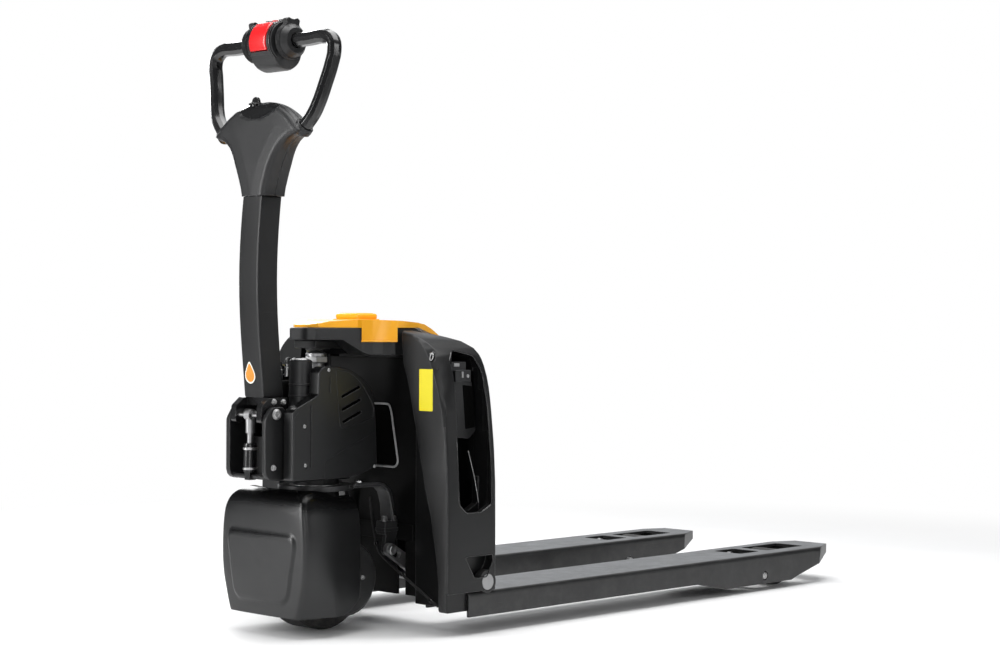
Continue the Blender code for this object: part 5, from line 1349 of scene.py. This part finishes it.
def handle_side(side, word):
    """Loop socket collar, head bands, grip and paddle ribs, and screws on one side."""
    head_x, head_z = HEAD
    with piece(f"socket_collar_{word}", PLASTIC, "tiller") as bm:
        foot = Vector((HANDLE_X, side * 0.108, 0.957))
        way = (Vector((-0.7285, side * 0.137, 0.984)) - foot).normalized()
        add_lathe(bm, foot + way * 0.004, way, SOCKET_PROFILE, 36)
    with piece(f"head_bands_{word}", GLOSS, "tiller") as bm:
        for y in (0.0345, 0.03):
            add_lathe(bm, (head_x, side * y, head_z), (0, side, 0), HEAD_BAND_PROFILE, 48)
    with piece(f"grip_ribs_{word}", PLASTIC, "throttle") as bm:
        for k in range(4):
            y = side * (0.0465 + 0.003 * k)
            path = []
            for j in range(17):
                a = math.radians(-60 - 15 * j)
                path.append(Vector((head_x + 0.0344 * math.cos(a), y,
                                    head_z + 0.0344 * math.sin(a))))
            add_tube(bm, path, 0.0008, sides=6)
    with piece(f"paddle_ribs_{word}", PLASTIC, "throttle") as bm:
        for k in range(5):
            x = head_x - 0.009 + 0.0045 * k
            path = [Vector((x, side * y, head_z + rise))
                    for y, rise in ((0.0445, 0.0412), (0.051, 0.0416), (0.057, 0.0412))]
            add_tube(bm, path, 0.001, sides=8)
    # The screw heads are coloured with the painted shadow black.
    with piece(f"head_screws_{word}", PAINTED_SHADOW, "tiller") as bm:
        for dx, dz in ((-0.022, -0.018), (0.01, 0.031)):
            place = (head_x + dx, side * 0.0367, head_z + dz)
            add_lathe(bm, place, (0, side, 0), HEAD_SCREW_PROFILE, 16)


def key():
    """The key knob with its half-round blade, and the collar under it."""
    bm = bmesh.new()
    add_lathe(bm, (HANDLE_X, KEY_Y, 1.0), (0, 0, 1), KEY_PROFILE, 36)
    blade = [(KEY_Y - BLADE_RADIUS, 1.019)]
    for k in range(15):
        a = math.pi * k / 14
        blade.append((KEY_Y - BLADE_RADIUS * math.cos(a), 1.022 + BLADE_RADIUS * math.sin(a)))
    blade.append((KEY_Y + BLADE_RADIUS, 1.019))
    add_plate(bm, blade, "X", HANDLE_X - 0.0032, HANDLE_X + 0.0032, 0.0012, 3)
    knob = dress(closed_object("key_knob", bm), GLOSS, "key")
    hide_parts("key_switch")
    with piece("key_collar", GLOSS, "tiller") as bm:
        add_lathe(bm, (HANDLE_X, KEY_Y, 1.0165), (0, 0, 1), KEY_COLLAR_PROFILE, 36)


def handle_bits():
    handle_skin(front=True)
    handle_skin(front=False)
    for side, word in SIDES:
        handle_side(side, word)
    key()
    for k, (y, z) in enumerate(LAMPS):
        with piece(f"status_lamp_{k}", PLASTIC, "tiller") as bm:
            add_lathe(bm, (-0.7405, y, z), (-1, 0, 0.2), LAMP_PROFILE, 20)


# ---------------------------------------------------------------- battery grip and front wall

FLAP_EDGE = [
    (-0.5562, 0.0863, 0.563), (-0.545, 0.105, 0.563), (-0.533, 0.1205, 0.563),
    (-0.5203, 0.1323, 0.563), (-0.5105, 0.138, 0.563),
]


def grip_bits():
    """Battery grip: a foot, a dark plate of painted shadow for the finger recess, ribs on top, and
    a rolled lip along each flap.
    """
    with piece("grip_foot", ORANGE, "battery") as bm:
        foot = [(-0.525, -0.038), (-0.462, -0.038), (-0.462, 0.038), (-0.525, 0.038)]
        add_plate(bm, soft(foot, 0.007, 5), "Z", 0.5975, 0.6064, 0.0016, 3)
    # A dark plate where the finger recess is: painted shadow.
    with piece("finger_recess_shadow", PAINTED_SHADOW, "battery") as bm:
        recess_shadow = [(-0.019, 0.6068), (0.019, 0.6068), (0.019, 0.6118), (-0.019, 0.6118)]
        add_plate(bm, soft(recess_shadow, 0.0012, 3), "X", -0.5092, -0.506, 0.0004, 1)
    with piece("grip_ribs_top", ORANGE, "battery") as bm:
        for k in range(5):
            y = -0.024 + 0.012 * k
            path = [Vector((x, y, z))
                    for x, z in ((-0.515, 0.6168), (-0.493, 0.6171), (-0.471, 0.6168))]
            add_tube(bm, path, 0.0012, sides=8)
    for side, word in SIDES:
        with piece(f"flap_lip_{word}", ORANGE, "battery") as bm:
            add_tube(bm, curve_through(mirror(FLAP_EDGE, side), 5), 0.0016, sides=10)


# Outlines on the front wall (y, z).
OPENING_LIP = [
    (0.035, 0.437), (-0.0515, 0.437), (-0.058, 0.42), (-0.078, 0.322), (-0.07, 0.312),
    (0.035, 0.312),
]
OPENING_SHADE = [(0.033, 0.434), (-0.05, 0.434), (-0.074, 0.324), (-0.068, 0.316), (0.033, 0.316)]
WALL_STEP = [(0.124, 0.168), (0.124, 0.2), (-0.124, 0.2), (-0.124, 0.168)]


def wall_bits():
    """Front wall: a rolled lip round the opening, pale as a painted highlight, a step low down in
    painted shade, a dark plate of painted shade in the lip.
    """
    with piece("opening_lip", LIP_PAINTED_HIGHLIGHT, "fork_frame") as bm:
        rim = [Vector((WALL_X, y, z)) for y, z in soft(OPENING_LIP, 0.008, 5)]
        add_tube(bm, rim, 0.0022, sides=10, closed=True)
    with piece("wall_step", WALL_IN_SHADE, "fork_frame") as bm:
        outline = soft(WALL_STEP, 0.004, 3)
        add_plate(bm, outline, "X", WALL_X - 0.0025, WALL_X + 0.001, 0.0012, 3)
    with piece("opening_shade", PAINTED_SHADOW, "fork_frame") as bm:
        outline = soft(OPENING_SHADE, 0.006)
        add_plate(bm, outline, "X", WALL_X - 0.0006, WALL_X + 0.001, 0.0004, 1)


drive_pod()
for cover_side, cover_word in SIDES:
    side_cover_skin(cover_side, cover_word)
    side_cover_bits(cover_side, cover_word)
wheel_bits()
yoke_bits()
cable()
cylinder_bits()
pump_bits()
arm_bits()
fork_bits()
drop_sticker()
tiller_bits()
handle_bits()
grip_bits()
wall_bits()


# ---------------------------------------------------------------- stage, light and camera


def floor_material():
    """Pale floor that fades to pure white, for the camera only, away from the object."""
    g = Graph("floor")
    tone = g.ramp(g.noise(scale=3.0, detail=4.0, rough=0.6), low=0.3, high=0.7)
    g.set(Base_Color=g.mix(tone, (0.9, 0.9, 0.9), (0.93, 0.93, 0.93)), Roughness=0.75)
    away = g.vector("LENGTH", g.coord)
    glow = g.node("ShaderNodeEmission")
    glow.inputs["Color"].default_value = (1.0, 1.0, 1.0, 1.0)
    fade = g.node("ShaderNodeMixShader")
    seen_by = g.node("ShaderNodeLightPath").outputs["Is Camera Ray"]
    g.link(g.times(g.ramp(away, low=1.0, high=2.6), seen_by), fade.inputs[0])
    g.link(g.bsdf.outputs["BSDF"], fade.inputs[1])
    g.link(glow.outputs[0], fade.inputs[2])
    g.link(fade.outputs[0], g.out.inputs["Surface"])
    return g.mat


def studio_floor():
    material = floor_material()
    bm = bmesh.new()
    bmesh.ops.create_grid(bm, x_segments=2, y_segments=2, size=30.0)
    floor = link_mesh("studio_floor", bm)
    floor.location = (0.0, 0.0, -0.0006)
    floor.data.materials.append(material)


def studio_world():
    """White for the camera; for everything else dim, with a bright band towards +X +Y."""
    world = bpy.data.worlds.new("studio")
    scene.world = world
    world.use_nodes = True
    tree = world.node_tree
    tree.nodes.clear()

    def background(colour, strength):
        made = tree.nodes.new("ShaderNodeBackground")
        made.inputs["Color"].default_value = colour
        made.inputs["Strength"].default_value = strength
        return made

    out = tree.nodes.new("ShaderNodeOutputWorld")
    seen = background(colour=(1.0, 1.0, 1.0, 1.0), strength=1.0)
    cast = background(colour=(0.93, 0.96, 1.0, 1.0), strength=0.14)
    # The band gives long highlights on level faces.
    where = tree.nodes.new("ShaderNodeTexCoord")
    toward = tree.nodes.new("ShaderNodeVectorMath")
    toward.operation = "DOT_PRODUCT"
    toward.inputs[1].default_value = (0.7, 0.7, 0.12)
    tree.links.new(where.outputs["Generated"], toward.inputs[0])
    band = tree.nodes.new("ShaderNodeMapRange")
    band.interpolation_type = "SMOOTHSTEP"
    limits = {"From Min": 0.8, "From Max": 0.97, "To Min": 0.11, "To Max": 1.1}
    for key_name, value in limits.items():
        band.inputs[key_name].default_value = value
    tree.links.new(toward.outputs["Value"], band.inputs["Value"])
    tree.links.new(band.outputs["Result"], cast.inputs["Strength"])
    path = tree.nodes.new("ShaderNodeLightPath")
    pick = tree.nodes.new("ShaderNodeMixShader")
    tree.links.new(path.outputs["Is Camera Ray"], pick.inputs[0])
    tree.links.new(cast.outputs[0], pick.inputs[1])
    tree.links.new(seen.outputs[0], pick.inputs[2])
    tree.links.new(pick.outputs[0], out.inputs["Surface"])


# Area lights: name, place, point aimed at, size, power in watts.
LIGHTS = (
    ("key_overhead", (-0.2, -0.2, 2.7), (0.0, 0.0, 0.2), (2.6, 2.2), 92.0),
    ("strip_front", (-3.0, 1.2, 1.3), (-0.6, 0.0, 0.5), (0.45, 2.2), 62.0),
    ("strip_side", (-0.9, -3.2, 1.6), (-0.3, -0.2, 0.4), (0.45, 2.2), 20.0),
    ("strip_fork", (1.8, -2.6, 0.9), (0.4, -0.2, 0.1), (2.2, 0.4), 6.0),
    ("strip_corner", (-3.0, -1.9, 1.1), (-0.65, 0.0, 0.4), (0.2, 2.4), 20.0),
    ("rim_back", (0.9, 2.8, 1.7), (-0.4, 0.0, 0.7), (1.2, 2.0), 50.0),
)


def area_light(name, place, aim, size, power):
    light = bpy.data.lights.new(name, "AREA")
    light.shape = "RECTANGLE"
    light.size, light.size_y = size
    light.energy = power
    obj = bpy.data.objects.new(name, light)
    scene.collection.objects.link(obj)
    obj.location = place
    way = Vector(aim) - Vector(place)
    obj.rotation_euler = way.to_track_quat("-Z", "Y").to_euler()


CAMERA_PLACE = (-3.2157, -3.0468, 0.6072)
YAW, PITCH, ROLL = math.radians(44.28), math.radians(-0.19), math.radians(0.26)


def add_camera():
    data = bpy.data.cameras.new("camera")
    data.sensor_width = 36.0
    data.lens = 73.41264
    data.shift_x, data.shift_y = 0.00335, 0.00084
    data.clip_start, data.clip_end = 0.05, 100.0
    camera = bpy.data.objects.new("camera", data)
    scene.collection.objects.link(camera)
    level = math.cos(PITCH)
    forward = Vector((math.cos(YAW) * level, math.sin(YAW) * level, math.sin(PITCH)))
    right = forward.cross(Vector((0, 0, 1))).normalized()
    upward = right.cross(forward)
    turn = Matrix.Rotation(-ROLL, 3, forward)
    right, upward = turn @ right, turn @ upward
    rows = zip(right, upward, -forward, CAMERA_PLACE)
    camera.matrix_world = Matrix((*rows, (0, 0, 0, 1)))
    scene.camera = camera


studio_floor()
studio_world()
for light_row in LIGHTS:
    area_light(*light_row)
add_camera()
scene.view_settings.view_transform = "Standard"
